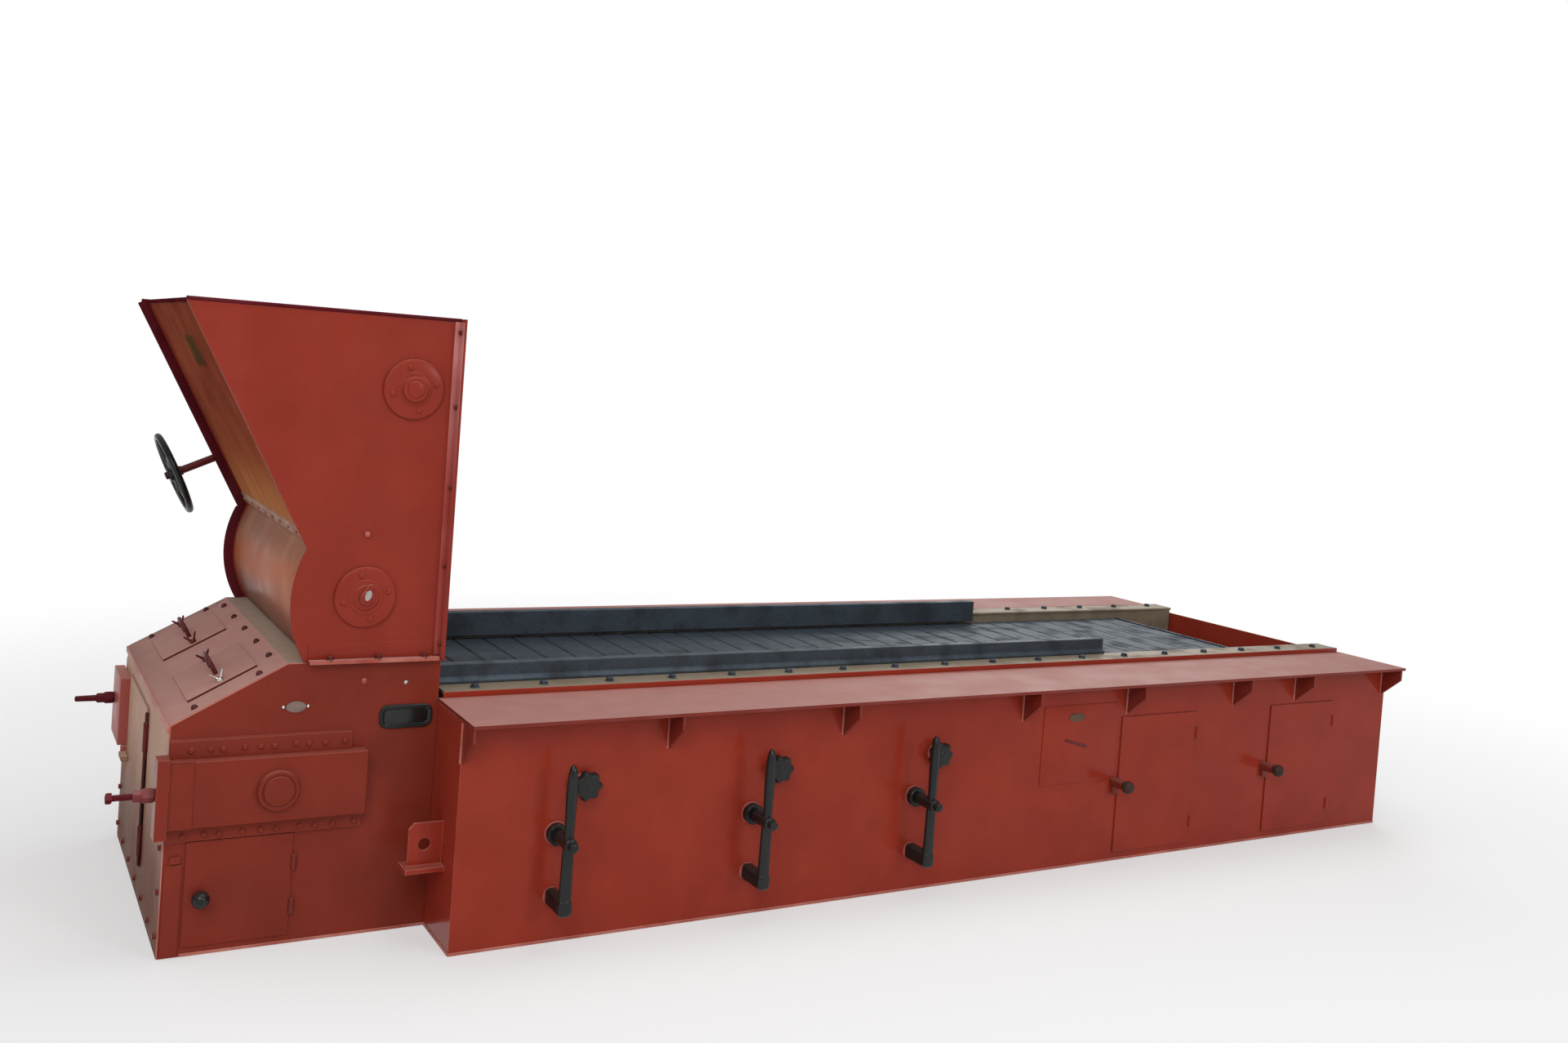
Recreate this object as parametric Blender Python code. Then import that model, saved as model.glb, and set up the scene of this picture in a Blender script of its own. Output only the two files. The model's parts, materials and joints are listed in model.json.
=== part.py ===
"""Chain-grate stoker: the travelling coal grate of a small boiler, with its feed hopper and drive.

Lengths are metres.  Inside the builders X runs from the front plate (0) to the rear, Y from the
centre plane (near side negative) and Z up from the floor.  place() shifts X so that the finished
part has its origin on the floor under the middle of the base.
"""
import math

import bmesh
import bpy
from mathutils import Matrix, Vector
from mathutils.geometry import delaunay_2d_cdt

# Facets of round pieces, and the angle above which an edge is shaded sharp
ROUND_SIDES = 16
SMALL_SIDES = 12
ROD_SIDES = 10
WIDE_SIDES = 24
WHEEL_SIDES = 32
TURN_STEPS = 16
SHEET_STEPS = 14
GATE_STEPS = 10
FLANK_STEPS = 3
SHARP_ANGLE = math.radians(40)

# Clearances: FIT between plates that meet, RUN round a turning shaft, HOLE where a shaft only passes
FIT = 0.0005
RUN = 0.0004
HOLE = 0.004
# Weld is how far one piece sinks into the piece it is welded to
WELD = 0.004
# Points closer than this after a cut become one
MERGE = 0.00002

# Front box
FRONT_WIDTH = 1.244
FRONT_LENGTH = 0.840
FRONT_EDGE_HEIGHT = 0.735
FRONT_TOP_HEIGHT = 0.917
SLOPE_RUN = 0.343
FRONT_PLATE = 0.010
TOP_PLATE = 0.008
SIGHT_PORT_IN = 0.108
SIGHT_PORT_Z = 0.726
SIGHT_PORT_LENGTH = 0.165
SIGHT_PORT_HEIGHT = 0.067

# Grate body behind the front box
BODY_LENGTH = 4.580
SIDE_STEP = 0.281
WALL_PLATE = 0.010
DECK_HEIGHT = 0.780
DECK_PLATE = 0.012
DECK_OVERHANG = 0.109
GUSSET_PLATE = 0.010
GUSSET_DROP = 0.138
GUSSET_NOSE = 0.048
GUSSET_OFFSETS = (0.005, 0.744, 1.467, 2.333, 2.901, 3.540, 3.945)
GUSSET_END_IN = 0.023
GUSSET_SPACE = 0.200
FRAME_HEIGHT = 0.080
FRAME_SILL = 0.060
FRAME_MEMBER = 0.100
INLET_WIDTH = 0.250
INLET_HEIGHT = 0.400
INLET_Z = 0.400
INLET_RIM = 0.036
INLET_FLANGE = 0.016

# Anchor lug on the step between front box and body
LUG_REACH = 0.113
LUG_FOOT_Z = 0.247
LUG_HEIGHT = 0.156
LUG_PLATE = 0.012
LUG_OUT = 0.138
LUG_FOOT_WIDTH = 0.090
LUG_FOOT_LIP = 0.015
LUG_FOOT_PLATE = 0.016
LUG_CORNER = 0.018
LUG_EYE_IN = 0.059
LUG_EYE_RISE = 0.084
LUG_EYE_R = 0.021

# Grate belt and shafts
SHAFT_DEPTH = 0.257
FRONT_SHAFT_X = 0.325
REAR_SHAFT_IN = 0.470
SHAFT_R = 0.040
SHAFT_CHAMFER = 0.004
DRIVE_END_R = 0.034
DRIVE_END_LENGTH = 0.106
GRATE_HALF_WIDTH = 0.490
BELT_INNER_R = 0.175
BELT_THICKNESS = 0.055
BELT_SLOT = 0.008
BELT_SLOT_DEPTH = 0.020
BELT_PITCH = 0.1285
SPROCKET_TIP_GAP = 0.013
SPROCKET_TOOTH = 0.024
SPROCKET_TEETH = 10
# Half the width of a sprocket tooth at its root and tip, in parts of the pitch
TOOTH_ROOT = 0.36
TOOTH_TIP = 0.16
SPROCKET_WIDTH = 0.030
SPROCKET_Y = 0.350
DRUM_GAP = 0.015
DRUM_WIDTH = 0.090
BEARING_LENGTH = 0.200
BEARING_HEIGHT = 0.150
BEARING_DEPTH = 0.068

# Grate side frames, seals and air box
GRATE_START_GAP = 0.010
GRATE_END_GAP = 0.010
SIDE_GAP = 0.022
SIDE_PLATE = 0.010
LEDGE_RISE = 0.047
LEDGE_PLATE = 0.012
LEDGE_LIP = 0.008
SEAL_WIDTH = 0.0435
SEAL_GAP = 0.012
SEAL_RISE = 0.067
SEAL_FOOT = 0.014
SEAL_FOOT_PLATE = 0.010
SEAL_END_IN = 1.470
AIR_BAR_Y = 0.300
AIR_BAR_WIDTH = 0.030
AIR_BAR_DEPTH = 0.067
AIR_BAR_IN = 0.040
AIR_BAR_END_GAP = 0.160
AIR_WALL = 0.010
AIR_WALL_FIRST = 0.125
AIR_WALL_PITCH = 0.500
AIR_WALL_DROP = 0.038

# Take-up
TAKEUP_TRAVEL = 0.020
CARRIAGE_GAP = 0.006
CARRIAGE_LENGTH = 0.580
CARRIAGE_UP = 0.107
CARRIAGE_DOWN = 0.1025
CARRIAGE_DEPTH = 0.050
BOSS_R = 0.065
BOSS_DEPTH = 0.018
BOSS_RING_R = 0.047
BOSS_RING_DEPTH = 0.006
GUIDE_UPPER = 0.058
GUIDE_LOWER = 0.050
GUIDE_UPPER_END = 0.556
GUIDE_LOWER_END = 0.600
GUIDE_PLATE = 0.014
BRACKET_PLATE = 0.0355
BRACKET_WIDTH = 0.066
BRACKET_FOOT = 0.175
BRACKET_UP = 0.122
BRACKET_DOWN = 0.127
SCREW_RISE = 0.007
SCREW_OUT = 0.026
SCREW_R = 0.012
SCREW_NECK_R = 0.0135
SCREW_NECK = 0.046
SCREW_TIP_R = 0.010
SCREW_TIP = 0.054
SCREW_COLLAR_R = 0.023
SCREW_COLLAR = 0.036
SCREW_REACH = 0.150
SCREW_WELL = 0.190

# Hopper
HOPPER_HEIGHT = 1.148
HOPPER_LIP = 0.028
HOPPER_PLATE = 0.008
HOPPER_SHEET = 0.006
HOPPER_REAR_PLATE = 0.010
HOPPER_REAR_IN = 0.004
HOPPER_RIM = 0.022
DRUM_FROM_REAR = 0.116
DRUM_RISE = 0.198
DRUM_RIM_R = 0.381
DRUM_TOP_RISE = 0.370
DRUM_LAP = 0.025
FLANGE_LEG = 0.050
FLANGE_PLATE = 0.008
HOPPER_FOOT = 0.030
REAR_PLATE_RISE = 0.543

# Coal gate, its lift shaft and the worm drive
LIFT_FROM_REAR = 0.150
LIFT_DROP = 0.244
LIFT_SHAFT_R = 0.020
PINION_TEETH = 12
GEAR_MODULE = 0.008
PRESSURE_ANGLE = math.radians(20)
RACK_ADDENDUM = 0.0048
PINION_ADDENDUM = 0.0060
GEAR_BACKLASH = 0.0012
RACK_Y = 0.400
RACK_WIDTH = 0.030
RACK_TEETH = 10
RACK_END = 0.005
GATE_PLATE = 0.020
GATE_BACK_GAP = 0.005
GATE_SIDE_GAP = 0.014
GATE_OPENING = 0.107
GATE_TOP_RISE = 0.533
RACK_LAP = 0.060
RACK_BACK = 0.031
PINION_WIDTH = 0.028
WORM_TILT = math.radians(24.5)
WORM_DISTANCE = 0.154
WORM_OUT = 0.056
WORM_WHEEL_WIDTH = 0.036
WORM_GAP = 0.004
WORM_R = 0.030
WORM_LENGTH = 0.088
WORM_SHAFT_R = 0.015
WORM_PLAY = 0.006
CASE_WALL = 0.016
HANDWHEEL_R = 0.1665
HANDWHEEL_RIM_R = 0.0125
HANDWHEEL_OFFSET = 0.680
HANDWHEEL_HUB_R = 0.030
HANDWHEEL_HUB = 0.042
SPOKE_R = 0.0095
SPOKES = 5

# Curved feed gate
ARC_FROM_REAR = 0.265
ARC_RISE = 0.213
ARC_SHAFT_R = 0.018
ARC_GATE_GAP = 0.019
ARC_GATE_PLATE = 0.012
ARC_GATE_HALF = math.radians(50)
ARC_ARM_IN = 0.054
ARC_ARM = 0.012
ARC_LEVER_HUB_R = 0.023
ARC_LEVER_LENGTH = 0.046
ARC_LEVER_PLATE = 0.012
DISC_R = 0.100
DISC_PLATE = 0.014
DISC_BOSS_R = 0.042
DISC_BOSS = 0.008
GATE_DISC_BOSS = 0.020

# Doors, hatches and latches
DOOR_PLATE = 0.006
DOOR_LAP = 0.022
BARREL_R = 0.008
BARREL_LENGTH = 0.050
BARREL_IN = 0.095
SIDE_DOOR_FRONT = 0.068
SIDE_DOOR_WIDTH = 0.324
SIDE_DOOR_FOOT = 0.030
SIDE_DOOR_TOP_GAP = 0.0055
SIDE_KNOB_IN = 0.047
SIDE_KNOB_Z = 0.190
SIDE_KNOB_STAND = 0.011
FRONT_DOOR_NEAR = -0.122
FRONT_DOOR_WIDTH = 0.540
FRONT_DOOR_FOOT = 0.123
FRONT_DOOR_DROP = 0.067
FRONT_CATCH_Z = 0.367
CATCH_LENGTH = 0.066
CATCH_DEPTH = 0.022
CATCH_HEIGHT = 0.016
REAR_DOOR_ENDS = (1.265, 0.370)
REAR_DOOR_WIDTHS = (0.442, 0.423)
REAR_DOOR_FOOT = 0.037
REAR_DOOR_HEIGHT = 0.582
LATCH_GAP = 0.003
LATCH_Z = 0.343
LATCH_BASE_R = 0.020
LATCH_TONGUE = 0.052
LATCH_KNOB_STAND = 0.066
KNOB_R = 0.027
KNOB_STEM_R = 0.009
KNOB_RINGS = 4
HATCH_WIDTH = 0.360
HATCH_CENTRES = (-0.295, 0.333)
HATCH_START = 0.077
HATCH_LENGTH = 0.234
HATCH_LAP = 0.028
HATCH_BARREL_Y = 0.110
HANDLE_HALF = 0.055
HANDLE_HEIGHT = 0.067
HANDLE_R = 0.006
HANDLE_CORNER = 0.009

# Dampers
DAMPER_OFFSETS = (0.343, 1.092, 1.812)
DAMPER_GAP = 0.0125
DAMPER_R = 0.0125
DAMPER_BOSS_R = 0.034
DAMPER_BOSS = 0.032
SHUTTER_PLATE = 0.006
SHUTTER_GAP = 0.0015
SHUTTER_LAP = 0.020
SHUTTER_FOOT = 0.030
WINDOW_WIDTH = 0.220
WINDOW_HEIGHT = 0.180
WINDOW_RISE = 0.047
LEVER_STANDOFF = 0.118
LEVER_UP = 0.260
LEVER_DOWN = 0.240
LEVER_WIDTH = 0.036
LEVER_PLATE = 0.020
LEVER_HUB_R = 0.024
LEVER_HUB_OUT = 0.054
LEVER_HUB_GAP = 0.008
GRIP_START = 0.047
GRIP_TIP = 0.021
GRIP_STEPS = 5
GRIP_R = 0.018
GRIP_NECK_R = 0.012
GRIP_TIP_R = 0.007
STUB_WIDTH = 0.044
STUB_HEIGHT = 0.050
STUB_GAP = 0.004
STAR_OFFSET = 0.088
STAR_RISE = 0.162
STAR_R = 0.043
STAR_LOBE = 0.005
STAR_LOBES = 5
LOBE_POINTS = 6
STAR_DEPTH = 0.030
STAR_STANDOFF = 0.024
STAR_STEM_R = 0.0065

# Places that follow from the sizes above
HALF = FRONT_WIDTH / 2
WALL_Y = HALF + SIDE_STEP
DECK_Y = WALL_Y + DECK_OVERHANG
BODY_END = FRONT_LENGTH + BODY_LENGTH
SLOPE = math.atan2(FRONT_TOP_HEIGHT - FRONT_EDGE_HEIGHT, SLOPE_RUN)
SHAFT_Z = DECK_HEIGHT - SHAFT_DEPTH
FRONT_SHAFT = (FRONT_SHAFT_X, SHAFT_Z)
REAR_SHAFT = (BODY_END - REAR_SHAFT_IN, SHAFT_Z)
BELT_OUTER_R = BELT_INNER_R + BELT_THICKNESS
BELT_TOP = SHAFT_Z + BELT_OUTER_R
GRATE_START = FRONT_LENGTH + WALL_PLATE + GRATE_START_GAP
GRATE_END = BODY_END - WALL_PLATE - GRATE_END_GAP
SIDE_IN = GRATE_HALF_WIDTH + SIDE_GAP
SIDE_OUT = SIDE_IN + SIDE_PLATE
LEDGE_TOP = BELT_TOP + LEDGE_RISE
LEDGE_IN = SIDE_IN - LEDGE_LIP
HOPPER_REAR = FRONT_LENGTH - HOPPER_REAR_IN
HOPPER_TOP = FRONT_TOP_HEIGHT + HOPPER_HEIGHT
LIFT_SHAFT = (HOPPER_REAR - LIFT_FROM_REAR, HOPPER_TOP - LIFT_DROP)
ARC_SHAFT = (HOPPER_REAR - ARC_FROM_REAR, FRONT_TOP_HEIGHT + ARC_RISE)
DRUM_CENTRE = (HOPPER_REAR - DRUM_FROM_REAR, FRONT_TOP_HEIGHT + DRUM_RISE)
DRUM_INNER_R = DRUM_RIM_R - HOPPER_RIM - HOPPER_SHEET
ARC_GATE_R = ARC_SHAFT[0] - DRUM_CENTRE[0] + DRUM_INNER_R - ARC_GATE_GAP
PITCH_R = GEAR_MODULE * PINION_TEETH / 2
TOOTH_PITCH = math.pi * GEAR_MODULE
GATE_FRONT = LIFT_SHAFT[0] + PITCH_R + RACK_BACK
GATE_BACK = GATE_FRONT + GATE_PLATE
GATE_HALF = HALF - HOPPER_PLATE - GATE_SIDE_GAP
WORM_WHEEL_R = WORM_DISTANCE - WORM_R - WORM_GAP
WORM_Y = HALF + WORM_OUT
WORM_AXIS = Vector((math.cos(WORM_TILT), 0.0, math.sin(WORM_TILT)))
WORM_CENTRE = Vector((LIFT_SHAFT[0] + WORM_DISTANCE * math.sin(WORM_TILT), WORM_Y,
                      LIFT_SHAFT[1] - WORM_DISTANCE * math.cos(WORM_TILT)))
DAMPER_Z = SHAFT_Z - BELT_INNER_R + DAMPER_GAP + DAMPER_R
DAMPER_X = [FRONT_LENGTH + offset for offset in DAMPER_OFFSETS]
CARRIAGE_X = (TAKEUP_TRAVEL + CARRIAGE_GAP, TAKEUP_TRAVEL + CARRIAGE_GAP + CARRIAGE_LENGTH)
CARRIAGE_Z = (SHAFT_Z - CARRIAGE_DOWN, SHAFT_Z + CARRIAGE_UP)
SCREW_Y = HALF + SCREW_OUT
SCREW_Z = SHAFT_Z + SCREW_RISE
FRONT_DOOR_HEIGHT = FRONT_EDGE_HEIGHT - FRONT_DOOR_DROP - FRONT_DOOR_FOOT
SIDE_DOOR_TOP = CARRIAGE_Z[0] - GUIDE_LOWER - SIDE_DOOR_TOP_GAP
HINGE_STAND = BARREL_R + FIT
NEAR = -1
FAR = 1
SIDES = ((NEAR, "near"), (FAR, "far"))

FINISHES = {"red": ((0.29, 0.045, 0.030), 0.45, 0.0),
            "black": ((0.020, 0.023, 0.022), 0.40, 0.0),
            "iron": ((0.025, 0.035, 0.045), 0.60, 0.6),
            "steel": ((0.42, 0.40, 0.38), 0.40, 0.9)}


def mesh_from(points, faces):
    """Return a mesh with outward normals from points and faces."""
    shape = bmesh.new()
    corners = [shape.verts.new(point) for point in points]
    for face in faces:
        shape.faces.new([corners[index] for index in face])
    bmesh.ops.recalc_face_normals(shape, faces=shape.faces)
    mesh = bpy.data.meshes.new("solid")
    shape.to_mesh(mesh)
    shape.free()
    return mesh


def inside_loop(loop, u, v):
    """Return True where a point lies inside a closed loop."""
    odd = False
    for (u0, v0), (u1, v1) in zip(loop, loop[1:] + loop[:1]):
        if (v0 > v) != (v1 > v) and u < u0 + (v - v0) * (u1 - u0) / (v1 - v0):
            odd = not odd
    return odd


def fill(loops):
    """Return triangles that fill the first loop and leave the others open."""
    points = []
    edges = []
    for loop in loops:
        start = len(points)
        points += [Vector(point) for point in loop]
        edges += [(start + i, start + (i + 1) % len(loop)) for i in range(len(loop))]
    found = delaunay_2d_cdt(points, edges, [], 1, 1e-9)
    corners, triangles, origin = found[0], found[2], found[3]
    caps = []
    for triangle in triangles:
        u = sum(corners[index].x for index in triangle) / 3
        v = sum(corners[index].y for index in triangle) / 3
        if inside_loop(loops[0], u, v) and not any(inside_loop(loop, u, v) for loop in loops[1:]):
            caps.append(tuple(origin[index][0] for index in triangle))
    return caps


def prism(outline, reach, axis="Y", holes=()):
    """Return a plate: an outline with holes carried along one axis between the two ends of reach.

    The outline is (x, z) for axis Y, (y, z) for axis X and (x, y) for axis Z.
    """
    loops = [list(outline)] + [list(hole) for hole in holes]
    flat = [point for loop in loops for point in loop]
    caps = fill(loops)
    order = {"X": lambda u, v, w: (w, u, v),
             "Y": lambda u, v, w: (u, w, v),
             "Z": lambda u, v, w: (u, v, w)}[axis]
    points = [order(u, v, w) for w in reach for u, v in flat]
    count = len(flat)
    faces = [tuple(cap) for cap in caps]
    faces += [tuple(index + count for index in cap) for cap in caps]
    start = 0
    for loop in loops:
        size = len(loop)
        for step in range(size):
            a = start + step
            b = start + (step + 1) % size
            faces.append((a, b, b + count, a + count))
        start += size
    return mesh_from(points, faces)


def rectangle(u, v):
    """Return the corners of a rectangle from two (low, high) pairs."""
    return [(u[0], v[0]), (u[1], v[0]), (u[1], v[1]), (u[0], v[1])]


def inset(pair, margin):
    """Return a (low, high) pair drawn in by a margin at both ends."""
    return pair[0] + margin, pair[1] - margin


def about(middle, size):
    """Return the (low, high) pair of a size centred on a point."""
    return middle - size / 2, middle + size / 2


def span(side, low, high):
    """Return the Y range between two distances from the centre plane on one side."""
    return tuple(sorted((side * low, side * high)))


def arc(centre, radius, start, stop, steps):
    """Return points along an arc, angles in radians."""
    angles = [start + (stop - start) * i / steps for i in range(steps + 1)]
    return [(centre[0] + radius * math.cos(a), centre[1] + radius * math.sin(a)) for a in angles]


def circle(centre, radius, sides=ROUND_SIDES):
    """Return points round a circle."""
    return arc(centre, radius, 0.0, 2 * math.pi * (sides - 1) / sides, sides - 1)


def stadium(centre, length, height, steps=6):
    """Return the outline of a slot with round ends."""
    reach = (length - height) / 2
    quarter = math.pi / 2
    right = arc((centre[0] + reach, centre[1]), height / 2, -quarter, quarter, steps)
    left = arc((centre[0] - reach, centre[1]), height / 2, quarter, 3 * quarter, steps)
    return right + left


def box(x, y, z):
    """Return a block from three (low, high) pairs."""
    return prism(rectangle(x, z), y)


def turned(profile, centre, axis="Y", sides=ROUND_SIDES, hollow=False):
    """Return a turned solid.  profile holds (radius, distance along the axis) pairs."""
    frames = {"X": Matrix(((0, 0, 1), (1, 0, 0), (0, 1, 0))),
              "Y": Matrix(((0, 1, 0), (0, 0, 1), (1, 0, 0))),
              "Z": Matrix.Identity(3)}
    frame = frames[axis] if isinstance(axis, str) else axis
    base = Vector(centre)
    points = []
    for radius, along in profile:
        for u, v in circle((0.0, 0.0), radius, sides):
            points.append(base + frame @ Vector((u, v, along)))
    faces = []
    rings = len(profile)
    for ring in range(rings if hollow else rings - 1):
        here = ring * sides
        there = ((ring + 1) % rings) * sides
        for side in range(sides):
            after = (side + 1) % sides
            faces.append((here + side, here + after, there + after, there + side))
    if not hollow:
        faces.append(tuple(range(sides)))
        faces.append(tuple(range((rings - 1) * sides, rings * sides)))
    return mesh_from(points, faces)


def tube(path, radius, sides=8):
    """Return a round rod bent along a path that lies in one plane."""
    nodes = [Vector(point) for point in path]
    last = len(nodes) - 1
    flat = Vector((1.0, 0.0, 0.0))
    if last == 1:
        flat = (nodes[1] - nodes[0]).orthogonal().normalized()
    points = []
    for index, node in enumerate(nodes):
        before = (node - nodes[max(index - 1, 0)]).normalized()
        after = (nodes[min(index + 1, last)] - node).normalized()
        along = (before + after).normalized()
        other = along.cross(flat)
        mitre = 1.0 / along.dot(after if index == 0 else before)
        for u, v in circle((0.0, 0.0), radius, sides):
            points.append(node + flat * u + other * (v * mitre))
    faces = [tuple(range(sides)), tuple(range(last * sides, (last + 1) * sides))]
    for ring in range(last):
        here = ring * sides
        for side in range(sides):
            after = (side + 1) % sides
            faces.append((here + side, here + after, here + sides + after, here + sides + side))
    return mesh_from(points, faces)


def combine(base, tools, operation):
    """Return one mesh: base joined with the tools, or base with the tools cut out of it."""
    target = bpy.data.objects.new("work", base)
    bpy.context.scene.collection.objects.link(target)
    helpers = []
    for tool in tools:
        helper = bpy.data.objects.new("tool", tool)
        bpy.context.scene.collection.objects.link(helper)
        helpers.append(helper)
        modifier = target.modifiers.new("join", "BOOLEAN")
        modifier.operation = operation
        modifier.solver = "EXACT"
        modifier.object = helper
    graph = bpy.context.evaluated_depsgraph_get()
    result = bpy.data.meshes.new_from_object(target.evaluated_get(graph))
    for helper in helpers + [target]:
        bpy.data.objects.remove(helper)
    shape = bmesh.new()
    shape.from_mesh(result)
    bmesh.ops.remove_doubles(shape, verts=shape.verts, dist=MERGE)
    shape.to_mesh(result)
    shape.free()
    return result


def union(base, *tools):
    """Return base welded to the tools."""
    return combine(base, tools, "UNION")


def cut(base, *tools):
    """Return base with the tools removed from it."""
    return combine(base, tools, "DIFFERENCE")


def moved(mesh, matrix):
    """Return the mesh after a move, a turn or a mirroring."""
    mesh.transform(matrix)
    if matrix.determinant() < 0:
        mesh.flip_normals()
    return mesh


def paint(name, colour, roughness, metallic):
    """Return a plain surface material."""
    material = bpy.data.materials.new(name)
    material.use_nodes = True
    shader = material.node_tree.nodes["Principled BSDF"]
    shader.inputs["Base Color"].default_value = (*colour, 1.0)
    shader.inputs["Roughness"].default_value = roughness
    shader.inputs["Metallic"].default_value = metallic
    return material


def place(name, mesh, finish, pivot=(0.0, 0.0, 0.0)):
    """Add a finished piece to the scene with its origin on the pivot."""
    centre = Vector(pivot)
    mesh.transform(Matrix.Translation(-centre))
    mesh.name = name
    mesh.shade_smooth()
    mesh.set_sharp_from_angle(angle=SHARP_ANGLE)
    mesh.materials.clear()
    mesh.materials.append(paint(name, *FINISHES[finish]))
    piece = bpy.data.objects.new(name, mesh)
    piece.location = centre + Vector((-BODY_END / 2, 0.0, 0.0))
    bpy.context.scene.collection.objects.link(piece)


def bays_between(start, stop, count, member):
    """Return the (low, high) X pairs of equal bays with a cross member between neighbours."""
    length = (stop - start - member * (count - 1)) / count
    starts = [start + i * (length + member) for i in range(count)]
    return [(low, low + length) for low in starts]


def build_base():
    """Ladder frame that the plates and the grate stand on; one member lies under the origin."""
    front_y = HALF - FRONT_PLATE - FIT
    body_y = WALL_Y - WALL_PLATE - FIT
    front_x = FRONT_PLATE + FIT
    body_x = FRONT_LENGTH + WALL_PLATE + FIT
    rear_x = BODY_END - WALL_PLATE - FIT
    outline = [(front_x, -front_y), (body_x, -front_y), (body_x, -body_y), (rear_x, -body_y),
               (rear_x, body_y), (body_x, body_y), (body_x, front_y), (front_x, front_y)]
    bays = [rectangle(inset((front_x, body_x), FRAME_SILL), inset((-front_y, front_y), FRAME_SILL))]
    middle = about(BODY_END / 2, FRAME_MEMBER)
    lengths = bays_between(body_x + FRAME_SILL, middle[0], 2, FRAME_SILL)
    lengths += bays_between(middle[1], rear_x - FRAME_SILL, 3, FRAME_SILL)
    bays += [rectangle(length, inset((-body_y, body_y), FRAME_SILL)) for length in lengths]
    place("base_frame", prism(outline, (0.0, FRAME_HEIGHT), "Z", bays), "red")


def build_front_box():
    """Side, end and top plates of the front box."""
    outline = [(0.0, 0.0), (FRONT_LENGTH, 0.0), (FRONT_LENGTH, FRONT_TOP_HEIGHT),
               (SLOPE_RUN, FRONT_TOP_HEIGHT), (0.0, FRONT_EDGE_HEIGHT)]
    around = SHAFT_R + 2 * HOLE
    shaft_slot = rectangle((FRONT_SHAFT_X - TAKEUP_TRAVEL - around, FRONT_SHAFT_X + around),
                           (SHAFT_Z - around, SHAFT_Z + around))
    door = rectangle(inset((SIDE_DOOR_FRONT, SIDE_DOOR_FRONT + SIDE_DOOR_WIDTH), DOOR_LAP),
                     inset((SIDE_DOOR_FOOT, SIDE_DOOR_TOP), DOOR_LAP))
    sight_port = stadium((FRONT_LENGTH - SIGHT_PORT_IN, SIGHT_PORT_Z), SIGHT_PORT_LENGTH, SIGHT_PORT_HEIGHT)
    near = span(NEAR, HALF - FRONT_PLATE, HALF)
    far = span(FAR, HALF - FRONT_PLATE, HALF)
    place("front_side_plate_near", prism(outline, near, "Y", (shaft_slot, door, sight_port)), "red")
    place("front_side_plate_far", prism(outline, far, "Y", (shaft_slot,)), "red")

    inside = HALF - FRONT_PLATE - FIT
    drop = TOP_PLATE / math.cos(SLOPE)
    door = rectangle(inset((FRONT_DOOR_NEAR, FRONT_DOOR_NEAR + FRONT_DOOR_WIDTH), DOOR_LAP),
                     inset((FRONT_DOOR_FOOT, FRONT_DOOR_FOOT + FRONT_DOOR_HEIGHT), DOOR_LAP))
    face = rectangle((-inside, inside), (0.0, FRONT_EDGE_HEIGHT - drop - FIT))
    place("front_end_plate", prism(face, (0.0, FRONT_PLATE), "X", (door,)), "red")

    bend = TOP_PLATE * math.tan(SLOPE / 2)
    rear = FRONT_LENGTH - FIT
    band = [(0.0, FRONT_EDGE_HEIGHT - drop), (SLOPE_RUN + bend, FRONT_TOP_HEIGHT - TOP_PLATE),
            (rear, FRONT_TOP_HEIGHT - TOP_PLATE), (rear, FRONT_TOP_HEIGHT),
            (SLOPE_RUN, FRONT_TOP_HEIGHT), (0.0, FRONT_EDGE_HEIGHT)]
    deep = 3 * TOP_PLATE
    hatch = inset((HATCH_START, HATCH_START + HATCH_LENGTH), HATCH_LAP)
    frame = slope_frame()
    holes = []
    for middle in HATCH_CENTRES:
        hole = box(hatch, inset(about(middle, HATCH_WIDTH), HATCH_LAP), (-deep, deep))
        holes.append(moved(hole, frame))
    throat = (drum_foot() + DRUM_LAP, GATE_BACK + GATE_SIDE_GAP)
    holes.append(box(throat, (-GATE_HALF - HOLE, GATE_HALF + HOLE),
                     (FRONT_TOP_HEIGHT - deep, FRONT_TOP_HEIGHT + deep)))
    place("front_top_plate", cut(prism(band, (-inside, inside)), *holes), "red")


def slope_frame():
    """Return the frame of the sloping top: X up the slope, Z out of it."""
    return Matrix.Translation((0.0, 0.0, FRONT_EDGE_HEIGHT)) @ Matrix.Rotation(-SLOPE, 4, "Y")


def drum_foot():
    """Return the X where the drum sheet meets the top plate."""
    outer = DRUM_RIM_R - HOPPER_RIM
    return DRUM_CENTRE[0] - math.sqrt(outer ** 2 - DRUM_RISE ** 2)


def rear_door_spans():
    """Return the (low, high) X pairs of the doors in the body wall."""
    doors = zip(REAR_DOOR_ENDS, REAR_DOOR_WIDTHS)
    return [(BODY_END - end - width, BODY_END - end) for end, width in doors]


def anchor_lug(side):
    """Return the holed lug and its foot, welded to the step of the body wall."""
    root = FRONT_LENGTH + WELD
    nose = FRONT_LENGTH - LUG_REACH
    low = LUG_FOOT_Z + LUG_FOOT_PLATE / 2
    high = LUG_FOOT_Z + LUG_HEIGHT
    outline = [(nose, low), (root, low), (root, high), (nose + LUG_CORNER, high), (nose, high - LUG_CORNER)]
    eye = circle((FRONT_LENGTH - LUG_EYE_IN, LUG_FOOT_Z + LUG_EYE_RISE), LUG_EYE_R)
    middle = HALF + LUG_OUT
    plate = prism(outline, span(side, *about(middle, LUG_PLATE)), "Y", (eye,))
    foot = box((nose - LUG_FOOT_LIP, root), span(side, *about(middle, LUG_FOOT_WIDTH)),
               (LUG_FOOT_Z, LUG_FOOT_Z + LUG_FOOT_PLATE))
    return [plate, foot]


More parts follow.
